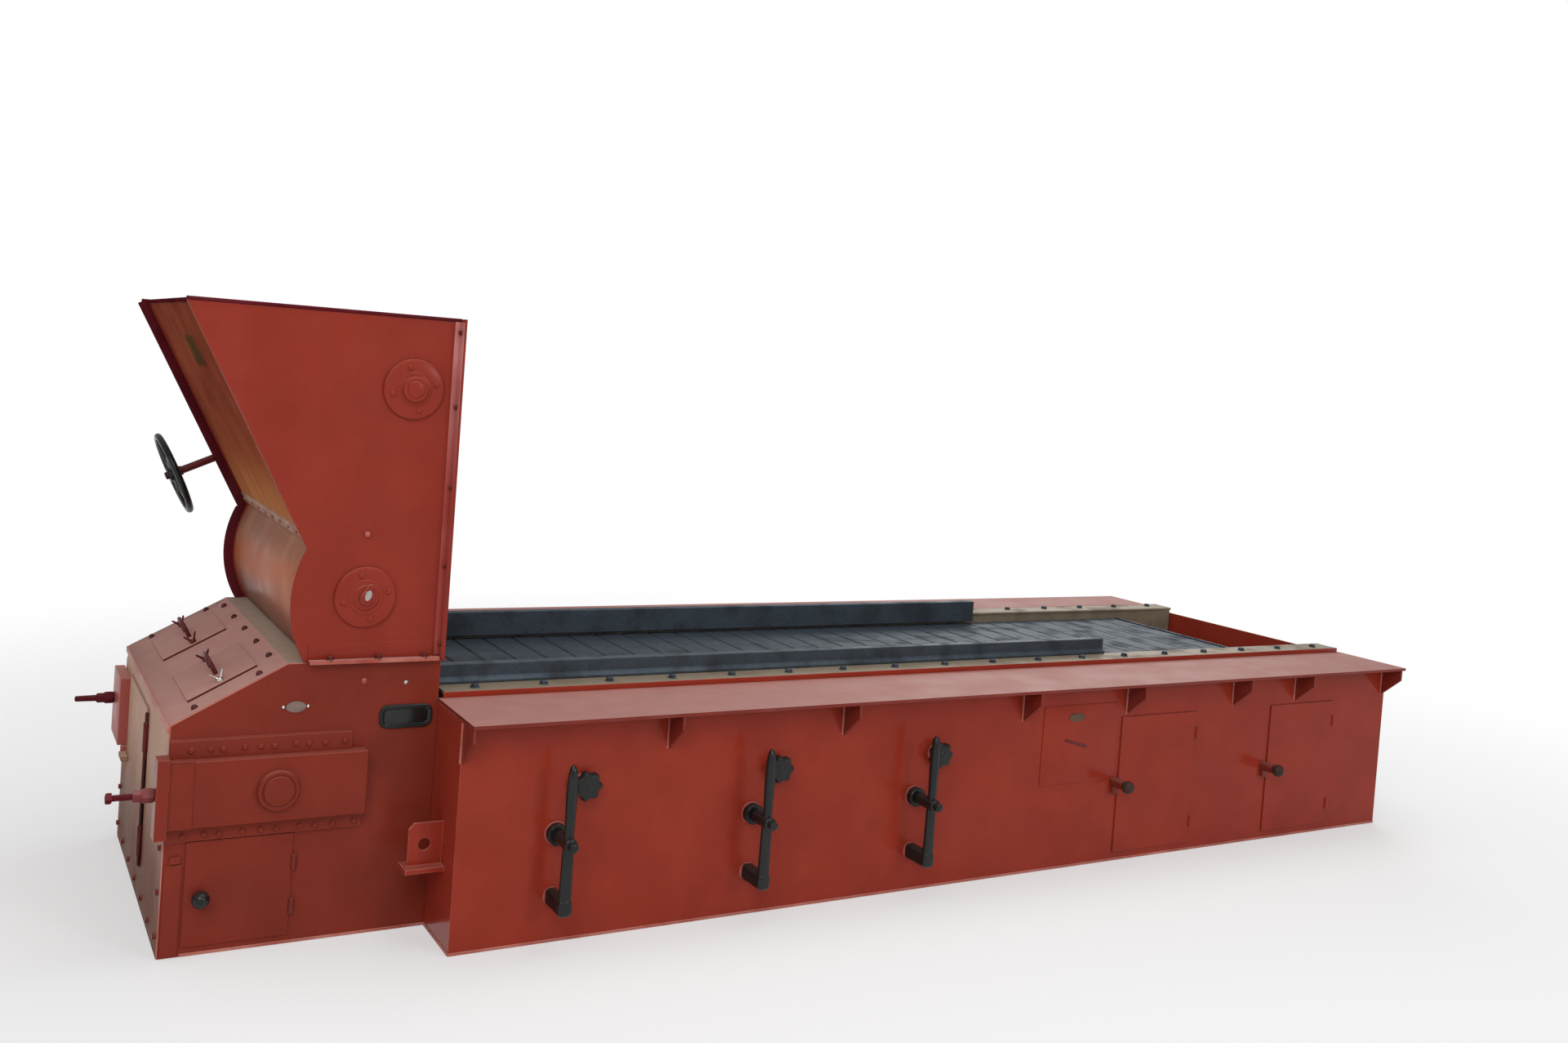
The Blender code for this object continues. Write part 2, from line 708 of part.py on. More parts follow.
def damper_bosses():
    """Return the bearing rings of the damper shafts on the near wall."""
    bore = DAMPER_R + RUN
    low = WALL_Y - WELD
    high = WALL_Y + DAMPER_BOSS
    profile = [(DAMPER_BOSS_R, -low), (DAMPER_BOSS_R, -high), (bore, -high), (bore, -low)]
    return [turned(profile, (x, 0.0, DAMPER_Z), "Y", ROUND_SIDES, True) for x in DAMPER_X]


def build_walls():
    """Side walls with their step plates, lugs and damper bosses."""
    top = DECK_HEIGHT - DECK_PLATE - FIT
    outline = rectangle((FRONT_LENGTH, BODY_END), (0.0, top))
    heights = (REAR_DOOR_FOOT, REAR_DOOR_FOOT + REAR_DOOR_HEIGHT)
    openings = [rectangle(inset(x, DOOR_LAP), inset(heights, DOOR_LAP)) for x in rear_door_spans()]
    for x in DAMPER_X:
        openings.append(circle((x, DAMPER_Z), DAMPER_R + HOLE))
        openings.append(circle((x + STAR_OFFSET, DAMPER_Z + STAR_RISE), STAR_STEM_R + FIT, ROD_SIDES))
    for side, label in SIDES:
        near = side == NEAR
        plate = prism(outline, span(side, WALL_Y - WALL_PLATE, WALL_Y), "Y", openings if near else ())
        step = box((FRONT_LENGTH, FRONT_LENGTH + WALL_PLATE),
                   span(side, HALF + FIT, WALL_Y - WALL_PLATE / 2), (0.0, top))
        bosses = damper_bosses() if near else []
        place("body_wall_" + label, union(plate, step, *anchor_lug(side), *bosses), "red")


def build_rear_end():
    """Rear end plate with a flanged air inlet into each side chamber."""
    inside = WALL_Y - WALL_PLATE - FIT
    top = DECK_HEIGHT - DECK_PLATE - FIT
    middle = (SIDE_OUT + WALL_Y - WALL_PLATE) / 2
    high = about(INLET_Z, INLET_HEIGHT)
    inlets = []
    flanges = []
    for side, _ in SIDES:
        wide = span(side, *about(middle, INLET_WIDTH))
        inlets.append(rectangle(wide, high))
        rim = rectangle(inset(wide, -INLET_RIM), inset(high, -INLET_RIM))
        mouth = rectangle(inset(wide, FIT), inset(high, FIT))
        flanges.append(prism(rim, (BODY_END - WELD, BODY_END + INLET_FLANGE), "X", (mouth,)))
    plate = prism(rectangle((-inside, inside), (0.0, top)), (BODY_END - WALL_PLATE, BODY_END), "X", inlets)
    place("rear_end_plate", union(plate, *flanges), "red")


def build_decks():
    """Side decks with the gussets under their overhang."""
    under = DECK_HEIGHT - DECK_PLATE
    last = BODY_LENGTH - GUSSET_END_IN
    places = [FRONT_LENGTH + offset for offset in GUSSET_OFFSETS if offset < last - GUSSET_SPACE]
    places.append(FRONT_LENGTH + last)
    for side, label in SIDES:
        deck = box((FRONT_LENGTH, BODY_END), span(side, HALF + FIT, DECK_Y), (under, DECK_HEIGHT))
        root = side * (WALL_Y + FIT)
        nose = side * (DECK_Y - WELD)
        corner = [(root, under + WELD), (nose, under + WELD), (nose, under - GUSSET_NOSE),
                  (root, under - GUSSET_DROP)]
        gussets = [prism(corner, about(x, GUSSET_PLATE), "X") for x in places]
        place("deck_" + label, union(deck, *gussets), "red")


def build_grate_frames():
    """Side frames of the grate with ledge, air windows and rear bearing, and the seal rails."""
    outline = rectangle((GRATE_START, GRATE_END), (FRAME_HEIGHT + FIT, LEDGE_TOP - WELD))
    low = DAMPER_Z + WINDOW_RISE
    windows = [rectangle(about(x, WINDOW_WIDTH), (low, low + WINDOW_HEIGHT)) for x in DAMPER_X]
    windows += [circle((x, DAMPER_Z), DAMPER_R + HOLE) for x in DAMPER_X]
    windows.append(circle(REAR_SHAFT, SHAFT_R + 2 * HOLE))
    block = rectangle(about(REAR_SHAFT[0], BEARING_LENGTH), about(SHAFT_Z, BEARING_HEIGHT))
    face = LEDGE_IN - FIT
    foot = LEDGE_TOP + FIT
    rail = [(face - SEAL_WIDTH, BELT_TOP + SEAL_GAP), (face, BELT_TOP + SEAL_GAP), (face, foot),
            (face + SEAL_FOOT, foot), (face + SEAL_FOOT, foot + SEAL_FOOT_PLATE),
            (face, foot + 2 * SEAL_FOOT_PLATE), (face, LEDGE_TOP + SEAL_RISE),
            (face - SEAL_WIDTH, LEDGE_TOP + SEAL_RISE)]
    for side, label in SIDES:
        plate = prism(outline, span(side, SIDE_IN, SIDE_OUT), "Y", windows)
        ledge = box((GRATE_START, GRATE_END), span(side, LEDGE_IN, HALF - FIT),
                    (LEDGE_TOP - LEDGE_PLATE, LEDGE_TOP))
        bearing = prism(block, span(side, SIDE_OUT - WELD / 2, SIDE_OUT + BEARING_DEPTH), "Y",
                        (circle(REAR_SHAFT, SHAFT_R + 2 * RUN, WIDE_SIDES),))
        place("grate_frame_" + label, union(plate, ledge, bearing), "steel")
        section = [(side * y, z) for y, z in rail]
        place("side_seal_" + label, prism(section, (GRATE_START, BODY_END - SEAL_END_IN), "X"), "iron")


def build_air_box():
    """Skid bars under the top run, on walls that part the air zones."""
    top = SHAFT_Z + BELT_INNER_R - FIT
    start = GRATE_START + AIR_BAR_IN
    stop = REAR_SHAFT[0] - BELT_OUTER_R - AIR_BAR_END_GAP
    bars = [box((start, stop), about(y, AIR_BAR_WIDTH), (top - AIR_BAR_DEPTH, top))
            for y in (-AIR_BAR_Y, 0.0, AIR_BAR_Y)]
    low = DAMPER_Z + DAMPER_R + DAMPER_GAP
    count = int((stop - start - AIR_WALL_FIRST) / AIR_WALL_PITCH) + 1
    places = [start + AIR_WALL_FIRST + AIR_WALL_PITCH * i for i in range(count)]
    wide = (FIT - SIDE_IN, SIDE_IN - FIT)
    walls = [box(about(x, AIR_WALL), wide, (low, top - AIR_WALL_DROP)) for x in places]
    place("air_box_frame", union(walls[0], *bars, *walls[1:]), "red")


def build_belt():
    """Grate belt: slotted top run, return run with the rear turn, and the front turn."""
    low = SHAFT_Z + BELT_INNER_R
    start = FRONT_SHAFT_X + FIT
    stop = REAR_SHAFT[0] - FIT
    rows = int((stop - start) / BELT_PITCH)
    slots = []
    for row in range(1, rows):
        left, right = about(stop - row * (stop - start) / rows, BELT_SLOT)
        slots += [(right, BELT_TOP), (right, BELT_TOP - BELT_SLOT_DEPTH),
                  (left, BELT_TOP - BELT_SLOT_DEPTH), (left, BELT_TOP)]
    width = (-GRATE_HALF_WIDTH, GRATE_HALF_WIDTH)
    outline = [(start, low), (stop, low), (stop, BELT_TOP), *slots, (start, BELT_TOP)]
    place("grate_belt_top", prism(outline, width), "iron")

    quarter = math.pi / 2
    outer = arc(REAR_SHAFT, BELT_OUTER_R, -quarter, quarter, TURN_STEPS)
    inner = arc(REAR_SHAFT, BELT_INNER_R, quarter, -quarter, TURN_STEPS)
    outline = [(start, SHAFT_Z - BELT_OUTER_R), *outer, *inner, (start, SHAFT_Z - BELT_INNER_R)]
    place("grate_belt_return", prism(outline, width), "iron")

    outer = arc(FRONT_SHAFT, BELT_OUTER_R, quarter, 3 * quarter, TURN_STEPS)
    inner = arc(FRONT_SHAFT, BELT_INNER_R, 3 * quarter, quarter, TURN_STEPS)
    place("grate_belt_front", prism(outer + inner, width), "iron", (FRONT_SHAFT_X, 0.0, SHAFT_Z))


def sprocket_outline():
    """Return the toothed outline of a drive sprocket."""
    tip = BELT_INNER_R - SPROCKET_TIP_GAP
    root = tip - SPROCKET_TOOTH
    turn = 2 * math.pi / SPROCKET_TEETH
    points = []
    corners = ((-TOOTH_ROOT, root), (-TOOTH_TIP, tip), (TOOTH_TIP, tip), (TOOTH_ROOT, root))
    for tooth in range(SPROCKET_TEETH):
        for share, radius in corners:
            angle = turn * (tooth + share)
            points.append((FRONT_SHAFT_X + radius * math.cos(angle), SHAFT_Z + radius * math.sin(angle)))
    return points


def build_shafts():
    """Front drive shaft with its sprockets, and the rear shaft with its drums."""
    front = (FRONT_SHAFT_X, 0.0, SHAFT_Z)
    rear = (REAR_SHAFT[0], 0.0, SHAFT_Z)
    near_end = -HALF - CARRIAGE_DEPTH - FIT
    shoulder = HALF + CARRIAGE_DEPTH + 2 * (BOSS_DEPTH + BOSS_RING_DEPTH)
    profile = [(SHAFT_R - SHAFT_CHAMFER, near_end - SHAFT_CHAMFER), (SHAFT_R, near_end), (SHAFT_R, shoulder),
               (DRIVE_END_R, shoulder), (DRIVE_END_R, shoulder + DRIVE_END_LENGTH - SHAFT_CHAMFER),
               (DRIVE_END_R - SHAFT_CHAMFER, shoulder + DRIVE_END_LENGTH)]
    place("front_shaft", turned(profile, front), "steel", front)
    bore = circle(FRONT_SHAFT, SHAFT_R + RUN)
    for side, label in SIDES:
        wide = span(side, *about(SPROCKET_Y, SPROCKET_WIDTH))
        place("drive_sprocket_" + label, prism(sprocket_outline(), wide, "Y", (bore,)), "iron", front)

    end = SIDE_OUT + BEARING_DEPTH - SHAFT_CHAMFER
    radius = BELT_INNER_R - DRUM_GAP
    profile = [(SHAFT_R - SHAFT_CHAMFER, -end), (SHAFT_R, SHAFT_CHAMFER - end)]
    for y in (-SPROCKET_Y, 0.0, SPROCKET_Y):
        low, high = about(y, DRUM_WIDTH)
        profile += [(SHAFT_R, low), (radius, low), (radius, high), (SHAFT_R, high)]
    profile += [(SHAFT_R, end - SHAFT_CHAMFER), (SHAFT_R - SHAFT_CHAMFER, end)]
    place("rear_shaft", turned(profile, rear), "steel", rear)


def build_carriage(side, label):
    """Bearing carriage of one side, with its boss, shaft bore and screw well."""
    front = (FRONT_SHAFT_X, 0.0, SHAFT_Z)
    inner = HALF + FIT
    outer = inner + CARRIAGE_DEPTH
    body = box(CARRIAGE_X, span(side, inner, outer), CARRIAGE_Z)
    step = outer + BOSS_DEPTH
    profile = [(BOSS_R, outer - WELD), (BOSS_R, step), (BOSS_RING_R, step),
               (BOSS_RING_R, step + BOSS_RING_DEPTH)]
    boss = turned([(r, side * y) for r, y in profile], front, "Y", WIDE_SIDES)
    end = outer + BOSS_DEPTH / 2 if side == NEAR else step + 2 * BOSS_RING_DEPTH
    bore = prism(circle(FRONT_SHAFT, SHAFT_R + 2 * RUN, WIDE_SIDES), span(side, inner - WELD, end))
    screw_r = SCREW_R + RUN
    well = turned([(screw_r, 0.0), (screw_r, SCREW_WELL)], (0.0, side * SCREW_Y, SCREW_Z), "X", SMALL_SIDES)
    place("takeup_carriage_" + label, cut(union(body, boss), bore, well), "red", front)


def build_guide(side, label):
    """Guide strips of a carriage and the bracket of its screw; the far bracket has a foot on the front."""
    inner = HALF + FIT
    front = -FIT - BRACKET_PLATE
    upper = (CARRIAGE_Z[1] + FIT, CARRIAGE_Z[1] + GUIDE_UPPER)
    lower = (CARRIAGE_Z[0] - GUIDE_LOWER, CARRIAGE_Z[0] - FIT)
    high = (SHAFT_Z - BRACKET_DOWN, SHAFT_Z + BRACKET_UP)
    outline = [(front, high[0]), (-FIT, high[0]), (-FIT, lower[0]), (GUIDE_LOWER_END, lower[0]),
               (GUIDE_LOWER_END, lower[1]), (-FIT, lower[1]), (-FIT, upper[0]), (GUIDE_UPPER_END, upper[0]),
               (GUIDE_UPPER_END, upper[1]), (-FIT, upper[1]), (-FIT, high[1]), (front, high[1])]
    strips = prism(outline, span(side, inner, inner + GUIDE_PLATE))
    start = inner - BRACKET_FOOT if side == FAR else inner + WELD
    bracket = box((front, -FIT), span(side, start, inner + BRACKET_WIDTH), high)
    screw_r = SCREW_R + RUN
    bore = turned([(screw_r, 2 * front), (screw_r, -front)], (0.0, side * SCREW_Y, SCREW_Z), "X", SMALL_SIDES)
    place("takeup_frame_" + label, cut(union(strips, bracket), bore), "red")


def build_takeup():
    """Bearing carriages, their guides and the tension screws."""
    collar = -BRACKET_PLATE - 2 * FIT
    neck = collar - SCREW_COLLAR
    tip = neck - SCREW_NECK
    profile = [(SCREW_TIP_R, tip - SCREW_TIP), (SCREW_TIP_R, tip), (SCREW_NECK_R, tip),
               (SCREW_NECK_R, neck), (SCREW_COLLAR_R, neck), (SCREW_COLLAR_R, collar),
               (SCREW_R, collar), (SCREW_R, SCREW_REACH)]
    for side, label in SIDES:
        build_carriage(side, label)
        build_guide(side, label)
        axis = (0.0, side * SCREW_Y, SCREW_Z)
        place("tension_screw_" + label, turned(profile, axis, "X", SMALL_SIDES), "red", axis)


def build_hopper():
    """Hopper plates and sheets."""
    foot = FRONT_TOP_HEIGHT + FIT
    top_angle = math.pi - math.asin((DRUM_TOP_RISE - DRUM_RISE) / DRUM_RIM_R)
    foot_angle = math.pi + math.asin((DRUM_CENTRE[1] - foot) / DRUM_RIM_R)
    edge = arc(DRUM_CENTRE, DRUM_RIM_R, top_angle, foot_angle, SHEET_STEPS)
    outline = [(-HOPPER_LIP, HOPPER_TOP), *edge, (HOPPER_REAR, foot), (HOPPER_REAR, HOPPER_TOP)]
    holes = [circle(LIFT_SHAFT, LIFT_SHAFT_R + 2 * HOLE), circle(ARC_SHAFT, ARC_SHAFT_R + 2 * HOLE)]
    for side, label in SIDES:
        plate = prism(outline, span(side, HALF - HOPPER_PLATE, HALF), "Y", holes)
        rear = HOPPER_REAR + WELD / 2
        leg = box((rear - FLANGE_PLATE, rear), span(side, HALF - WELD, HALF + FLANGE_LEG),
                  (foot, HOPPER_TOP))
        shelf = box((edge[-1][0] + WELD, HOPPER_REAR - WELD / 2),
                    span(side, HALF - WELD, HALF + HOPPER_FOOT), (foot, foot + FLANGE_PLATE))
        place("hopper_side_" + label, union(plate, leg, shelf), "red")

    inside = HALF - HOPPER_PLATE - FIT
    start = Vector((-HOPPER_LIP, HOPPER_TOP))
    stop = Vector(edge[0])
    along = (stop - start).normalized()
    inward = Vector((-along.y, along.x))
    lower = stop + inward * HOPPER_RIM
    upper = start + inward * HOPPER_RIM
    upper = upper + along * ((upper.y - HOPPER_TOP + WELD) / -along.y)
    sheet = [upper, lower, lower + inward * HOPPER_SHEET, upper + inward * HOPPER_SHEET]
    place("hopper_front_sheet", prism([tuple(point) for point in sheet], (-inside, inside)), "red")

    outer = DRUM_RIM_R - HOPPER_RIM
    first = math.pi - math.asin((DRUM_TOP_RISE + DRUM_LAP - DRUM_RISE) / outer)
    last = math.pi + math.asin((DRUM_CENTRE[1] - foot - FIT) / outer)
    skin = arc(DRUM_CENTRE, outer, first, last, SHEET_STEPS)
    skin += arc(DRUM_CENTRE, DRUM_INNER_R, last, first, SHEET_STEPS)
    place("hopper_drum", prism(skin, (-inside, inside)), "red")
    rear = GATE_BACK + GATE_BACK_GAP
    place("hopper_rear_plate", box((rear, rear + HOPPER_REAR_PLATE), (-inside, inside),
                                   (FRONT_TOP_HEIGHT + REAR_PLATE_RISE, HOPPER_TOP - WELD)), "red")


def build_discs():
    """Bearing discs bolted to the outside of the hopper plates."""
    for side, centre, radius, rise, name in (
            (NEAR, LIFT_SHAFT, LIFT_SHAFT_R, GATE_DISC_BOSS, "gate_bearing_near"),
            (NEAR, ARC_SHAFT, ARC_SHAFT_R, DISC_BOSS, "arc_gate_bearing_near"),
            (FAR, ARC_SHAFT, ARC_SHAFT_R, DISC_BOSS, "arc_gate_bearing_far")):
        face = HALF + FIT
        step = face + DISC_PLATE
        bore = radius + RUN
        profile = [(DISC_R, face), (DISC_R, step), (DISC_BOSS_R, step), (DISC_BOSS_R, step + rise),
                   (bore, step + rise), (bore, face)]
        middle = (centre[0], 0.0, centre[1])
        disc = turned([(r, side * y) for r, y in profile], middle, "Y", WIDE_SIDES, True)
        place(name, disc, "red")


def gear_outline():
    """Return an involute pinion outline that runs with the racks."""
    base_r = PITCH_R * math.cos(PRESSURE_ANGLE)
    tip_r = PITCH_R + PINION_ADDENDUM
    root_r = PITCH_R - GEAR_MODULE
    half = math.pi / (2 * PINION_TEETH) - GEAR_BACKLASH / (2 * PITCH_R)
    flank = [(root_r, half + math.tan(PRESSURE_ANGLE) - PRESSURE_ANGLE)]
    for step in range(FLANK_STEPS + 1):
        radius = base_r + (tip_r - base_r) * step / FLANK_STEPS
        roll = math.sqrt(max(0.0, (radius / base_r) ** 2 - 1))
        flank.append((radius, flank[0][1] - (roll - math.atan(roll))))
    points = []
    for tooth in range(PINION_TEETH):
        middle = 2 * math.pi * tooth / PINION_TEETH
        side = [(radius, -angle) for radius, angle in flank]
        for radius, angle in side + flank[::-1]:
            points.append((LIFT_SHAFT[0] + radius * math.cos(middle + angle),
                           LIFT_SHAFT[1] + radius * math.sin(middle + angle)))
    return points


def rack_outline():
    """Return the outline of a rack, with its teeth towards the pinion."""
    line = LIFT_SHAFT[0] + PITCH_R
    tip = line - RACK_ADDENDUM
    root = line + GEAR_MODULE
    back = GATE_FRONT + WELD
    lean = math.tan(PRESSURE_ANGLE)
    half = TOOTH_PITCH / 4 - GEAR_BACKLASH / 4
    half_tip = half - RACK_ADDENDUM * lean
    half_root = half + GEAR_MODULE * lean
    above = RACK_TEETH // 2
    top = LIFT_SHAFT[1] + TOOTH_PITCH * above + RACK_END
    foot = FRONT_TOP_HEIGHT + GATE_TOP_RISE - RACK_LAP
    points = [(back, foot), (back, top), (root, top)]
    for index in range(RACK_TEETH):
        middle = LIFT_SHAFT[1] + TOOTH_PITCH * (above - index - 0.5)
        points += [(root, middle + half_root), (tip, middle + half_tip),
                   (tip, middle - half_tip), (root, middle - half_root)]
    return points + [(root, foot)]


def build_coal_gate():
    """Coal gate with its racks, and the lift shaft with pinions and worm wheel."""
    foot = BELT_TOP + GATE_OPENING
    racks = [prism(rack_outline(), about(side * RACK_Y, RACK_WIDTH)) for side, _ in SIDES]
    top = FRONT_TOP_HEIGHT + GATE_TOP_RISE
    plate = box((GATE_FRONT, GATE_BACK), (-GATE_HALF, GATE_HALF), (foot, top))
    place("coal_gate", union(plate, *racks), "iron", (GATE_FRONT, 0.0, foot))

    axis = (LIFT_SHAFT[0], 0.0, LIFT_SHAFT[1])
    near, far = about(WORM_Y, WORM_WHEEL_WIDTH)
    end = -HALF - DISC_PLATE - GATE_DISC_BOSS + WELD
    profile = [(LIFT_SHAFT_R, end), (LIFT_SHAFT_R, near), (WORM_WHEEL_R, near), (WORM_WHEEL_R, far),
               (LIFT_SHAFT_R, far), (LIFT_SHAFT_R, far + WELD)]
    shaft = turned(profile, axis, "Y", WIDE_SIDES)
    pinions = [prism(gear_outline(), about(side * RACK_Y, PINION_WIDTH)) for side, _ in SIDES]
    place("gate_lift_shaft", union(shaft, *pinions), "steel", axis)


def worm_frame():
    """Return the frame of the worm shaft: X across it, Y up, Z along it."""
    return Matrix(((0.0, -math.sin(WORM_TILT), math.cos(WORM_TILT)), (1.0, 0.0, 0.0),
                   (0.0, math.cos(WORM_TILT), math.sin(WORM_TILT))))


def build_worm_drive():
    """Worm box on the far hopper plate, worm shaft and handwheel."""
    frame = worm_frame()
    inner = HALF + FIT
    pocket_y = inset(about(WORM_Y, WORM_WHEEL_WIDTH), -WORM_PLAY - WELD)
    worm = about(0.0, WORM_LENGTH)
    room = inset(worm, -WORM_PLAY)
    barrel_r = WORM_R + WORM_PLAY + CASE_WALL / 2
    pocket_r = WORM_WHEEL_R + WORM_PLAY
    case = prism(circle(LIFT_SHAFT, pocket_r + CASE_WALL, WHEEL_SIDES), (inner, pocket_y[1] + CASE_WALL))
    ends = inset(room, -CASE_WALL)
    barrel = turned([(barrel_r, ends[0]), (barrel_r, ends[1])], WORM_CENTRE, frame)
    pocket = prism(circle(LIFT_SHAFT, pocket_r, WHEEL_SIDES), pocket_y)
    hole = prism(circle(LIFT_SHAFT, LIFT_SHAFT_R + RUN, WIDE_SIDES), (inner - WELD, WORM_Y))
    well = turned([(WORM_R + WORM_PLAY, room[0]), (WORM_R + WORM_PLAY, room[1])], WORM_CENTRE, frame)
    bore_r = WORM_SHAFT_R + RUN
    bore = turned([(bore_r, 2 * ends[0]), (bore_r, 2 * ends[1])], WORM_CENTRE, frame)
    flush = box(about(LIFT_SHAFT[0], 4 * WORM_DISTANCE), (HALF - 2 * barrel_r, inner),
                about(LIFT_SHAFT[1], 4 * WORM_DISTANCE))
    place("gate_worm_housing", cut(union(case, barrel), pocket, hole, well, bore, flush), "red")

    start = -HANDWHEEL_OFFSET - HANDWHEEL_HUB / 2 - WELD
    profile = [(WORM_SHAFT_R, start), (WORM_SHAFT_R, worm[0]), (WORM_R, worm[0]), (WORM_R, worm[1]),
               (WORM_SHAFT_R, worm[1]), (WORM_SHAFT_R, ends[1])]
    place("handwheel_shaft", turned(profile, WORM_CENTRE, frame), "red", WORM_CENTRE)
    build_handwheel(frame)


def build_handwheel(frame):
    """Spoked handwheel on the end of the worm shaft."""
    hub_centre = WORM_CENTRE - WORM_AXIS * HANDWHEEL_OFFSET
    reach = HANDWHEEL_R - HANDWHEEL_RIM_R
    rim = turned(circle((reach, 0.0), HANDWHEEL_RIM_R, ROD_SIDES), hub_centre, frame, WHEEL_SIDES, True)
    wide = about(0.0, HANDWHEEL_HUB)
    hub = turned([(HANDWHEEL_HUB_R, wide[0]), (HANDWHEEL_HUB_R, wide[1])], hub_centre, frame)
    spokes = []
    for index in range(SPOKES):
        angle = math.pi / 2 + 2 * math.pi * index / SPOKES
        out = frame @ Vector((math.cos(angle), math.sin(angle), 0.0))
        ends = (hub_centre + out * (HANDWHEEL_HUB_R - WELD), hub_centre + out * reach)
        spokes.append(tube(ends, SPOKE_R))
    bore_r = WORM_SHAFT_R + RUN
    hole = turned([(bore_r, 2 * wide[0]), (bore_r, 2 * wide[1])], hub_centre, frame)
    place("handwheel", cut(union(rim, hub, *spokes), hole), "black", hub_centre)


def build_feed_gate():
    """Curved feed gate on its shaft, with the lever outside the near disc."""
    axis = (ARC_SHAFT[0], 0.0, ARC_SHAFT[1])
    outside = HALF + FIT + DISC_PLATE + DISC_BOSS
    lever = span(NEAR, outside + FIT, outside + FIT + ARC_LEVER_PLATE)
    shaft = turned([(ARC_SHAFT_R, lever[0]), (ARC_SHAFT_R, outside)], axis)
    start = math.pi - ARC_GATE_HALF
    stop = math.pi + ARC_GATE_HALF
    inner_r = ARC_GATE_R - ARC_GATE_PLATE
    skin = arc(ARC_SHAFT, ARC_GATE_R, start, stop, GATE_STEPS)
    skin += arc(ARC_SHAFT, inner_r, stop, start, GATE_STEPS)
    blade = prism(skin, (-GATE_HALF, GATE_HALF))
    margin = math.asin(ARC_GATE_PLATE / ARC_GATE_R)
    root = ARC_SHAFT_R / 2
    fan = [(ARC_SHAFT[0] + root, ARC_SHAFT[1] + root)]
    fan += arc(ARC_SHAFT, inner_r + ARC_GATE_PLATE / 2, start + margin, stop - margin, GATE_STEPS)
    fan += [(ARC_SHAFT[0] + root, ARC_SHAFT[1] - root)]
    middle = GATE_HALF - ARC_ARM_IN
    arms = [prism(fan, about(side * middle, ARC_ARM)) for side, _ in SIDES]
    place("arc_gate", union(shaft, blade, *arms), "iron", axis)

    hub = prism(circle(ARC_SHAFT, ARC_LEVER_HUB_R), lever, "Y", (circle(ARC_SHAFT, ARC_SHAFT_R + RUN),))
    low = ARC_SHAFT[1] + (ARC_SHAFT_R + ARC_LEVER_HUB_R) / 2
    tip = ARC_SHAFT[1] + ARC_LEVER_LENGTH
    lean = ARC_LEVER_LENGTH / 4
    tip_x = ARC_SHAFT[0] + lean
    half = ARC_LEVER_PLATE / 2
    arm = [(ARC_SHAFT[0] - ARC_LEVER_PLATE, low), (ARC_SHAFT[0] + ARC_LEVER_PLATE, low),
           (tip_x + half, tip), (tip_x - half, tip)]
    bar = prism(arm, inset(lever, ARC_LEVER_PLATE / 8))
    place("arc_gate_lever", union(hub, bar), "steel", axis)


def door_leaf(width, height):
    """Return a door in its own frame: hinge line on Z, leaf towards -X, outside towards -Y."""
    edge = -BARREL_R / 2
    inner = HINGE_STAND - FIT
    leaf = box((edge - width, edge), (inner - DOOR_PLATE, inner), (0.0, height))
    pins = [turned([(BARREL_R, z - BARREL_LENGTH / 2), (BARREL_R, z + BARREL_LENGTH / 2)],
                   (0.0, 0.0, 0.0), "Z", SMALL_SIDES) for z in (BARREL_IN, height - BARREL_IN)]
    return union(leaf, *pins)


def ball_knob(stem_start, stand):
    """Return a ball knob on a stem, standing out along -Y from the origin."""
    neck = math.asin(2 * KNOB_STEM_R / KNOB_R)
    step = (math.pi - 1.5 * neck) / KNOB_RINGS
    angles = [neck + step * i for i in range(KNOB_RINGS + 1)]
    ball = [(KNOB_R * math.sin(a), stand + KNOB_R - KNOB_R * math.cos(a)) for a in angles]
    profile = [(KNOB_STEM_R, stem_start), (KNOB_STEM_R, ball[0][1])] + ball
    return turned([(r, -y) for r, y in profile], (0.0, 0.0, 0.0), "Y", SMALL_SIDES)


def build_doors():
    """Side door and front door of the front box, and the doors of the body wall."""
    hinge = SIDE_DOOR_FRONT + SIDE_DOOR_WIDTH + BARREL_R / 2
    pivot = Vector((hinge, -HALF - HINGE_STAND, SIDE_DOOR_FOOT))
    middle = HINGE_STAND - FIT - DOOR_PLATE / 2
    grip_at = (SIDE_DOOR_FRONT + SIDE_KNOB_IN - hinge, middle, SIDE_KNOB_Z - SIDE_DOOR_FOOT)
    grip = moved(ball_knob(0.0, SIDE_KNOB_STAND), Matrix.Translation(grip_at))
    leaf = union(door_leaf(SIDE_DOOR_WIDTH, SIDE_DOOR_TOP - SIDE_DOOR_FOOT), grip)
    place("side_door", moved(leaf, Matrix.Translation(pivot)), "red", pivot)

    hinge = FRONT_DOOR_NEAR - BARREL_R / 2
    leaf = door_leaf(FRONT_DOOR_WIDTH, FRONT_DOOR_HEIGHT)
    middle = FRONT_CATCH_Z - FRONT_DOOR_FOOT
    far = -FRONT_DOOR_WIDTH - BARREL_R / 2
    catch = box((far - DOOR_LAP, far + CATCH_LENGTH), (-CATCH_DEPTH, HINGE_STAND - FIT - DOOR_PLATE / 2),
                about(middle, CATCH_HEIGHT))
    pivot = Vector((-HINGE_STAND, hinge, FRONT_DOOR_FOOT))
    turn = Matrix.Rotation(-math.pi / 2, 4, "Z")
    place("front_door", moved(union(leaf, catch), Matrix.Translation(pivot) @ turn), "red", pivot)

    for index, x in enumerate(rear_door_spans()):
        pivot = Vector((x[1] + BARREL_R / 2, -WALL_Y - HINGE_STAND, REAR_DOOR_FOOT))
        leaf = door_leaf(x[1] - x[0], REAR_DOOR_HEIGHT)
        place("rear_door_%d" % (index + 1), moved(leaf, Matrix.Translation(pivot)), "red", pivot)


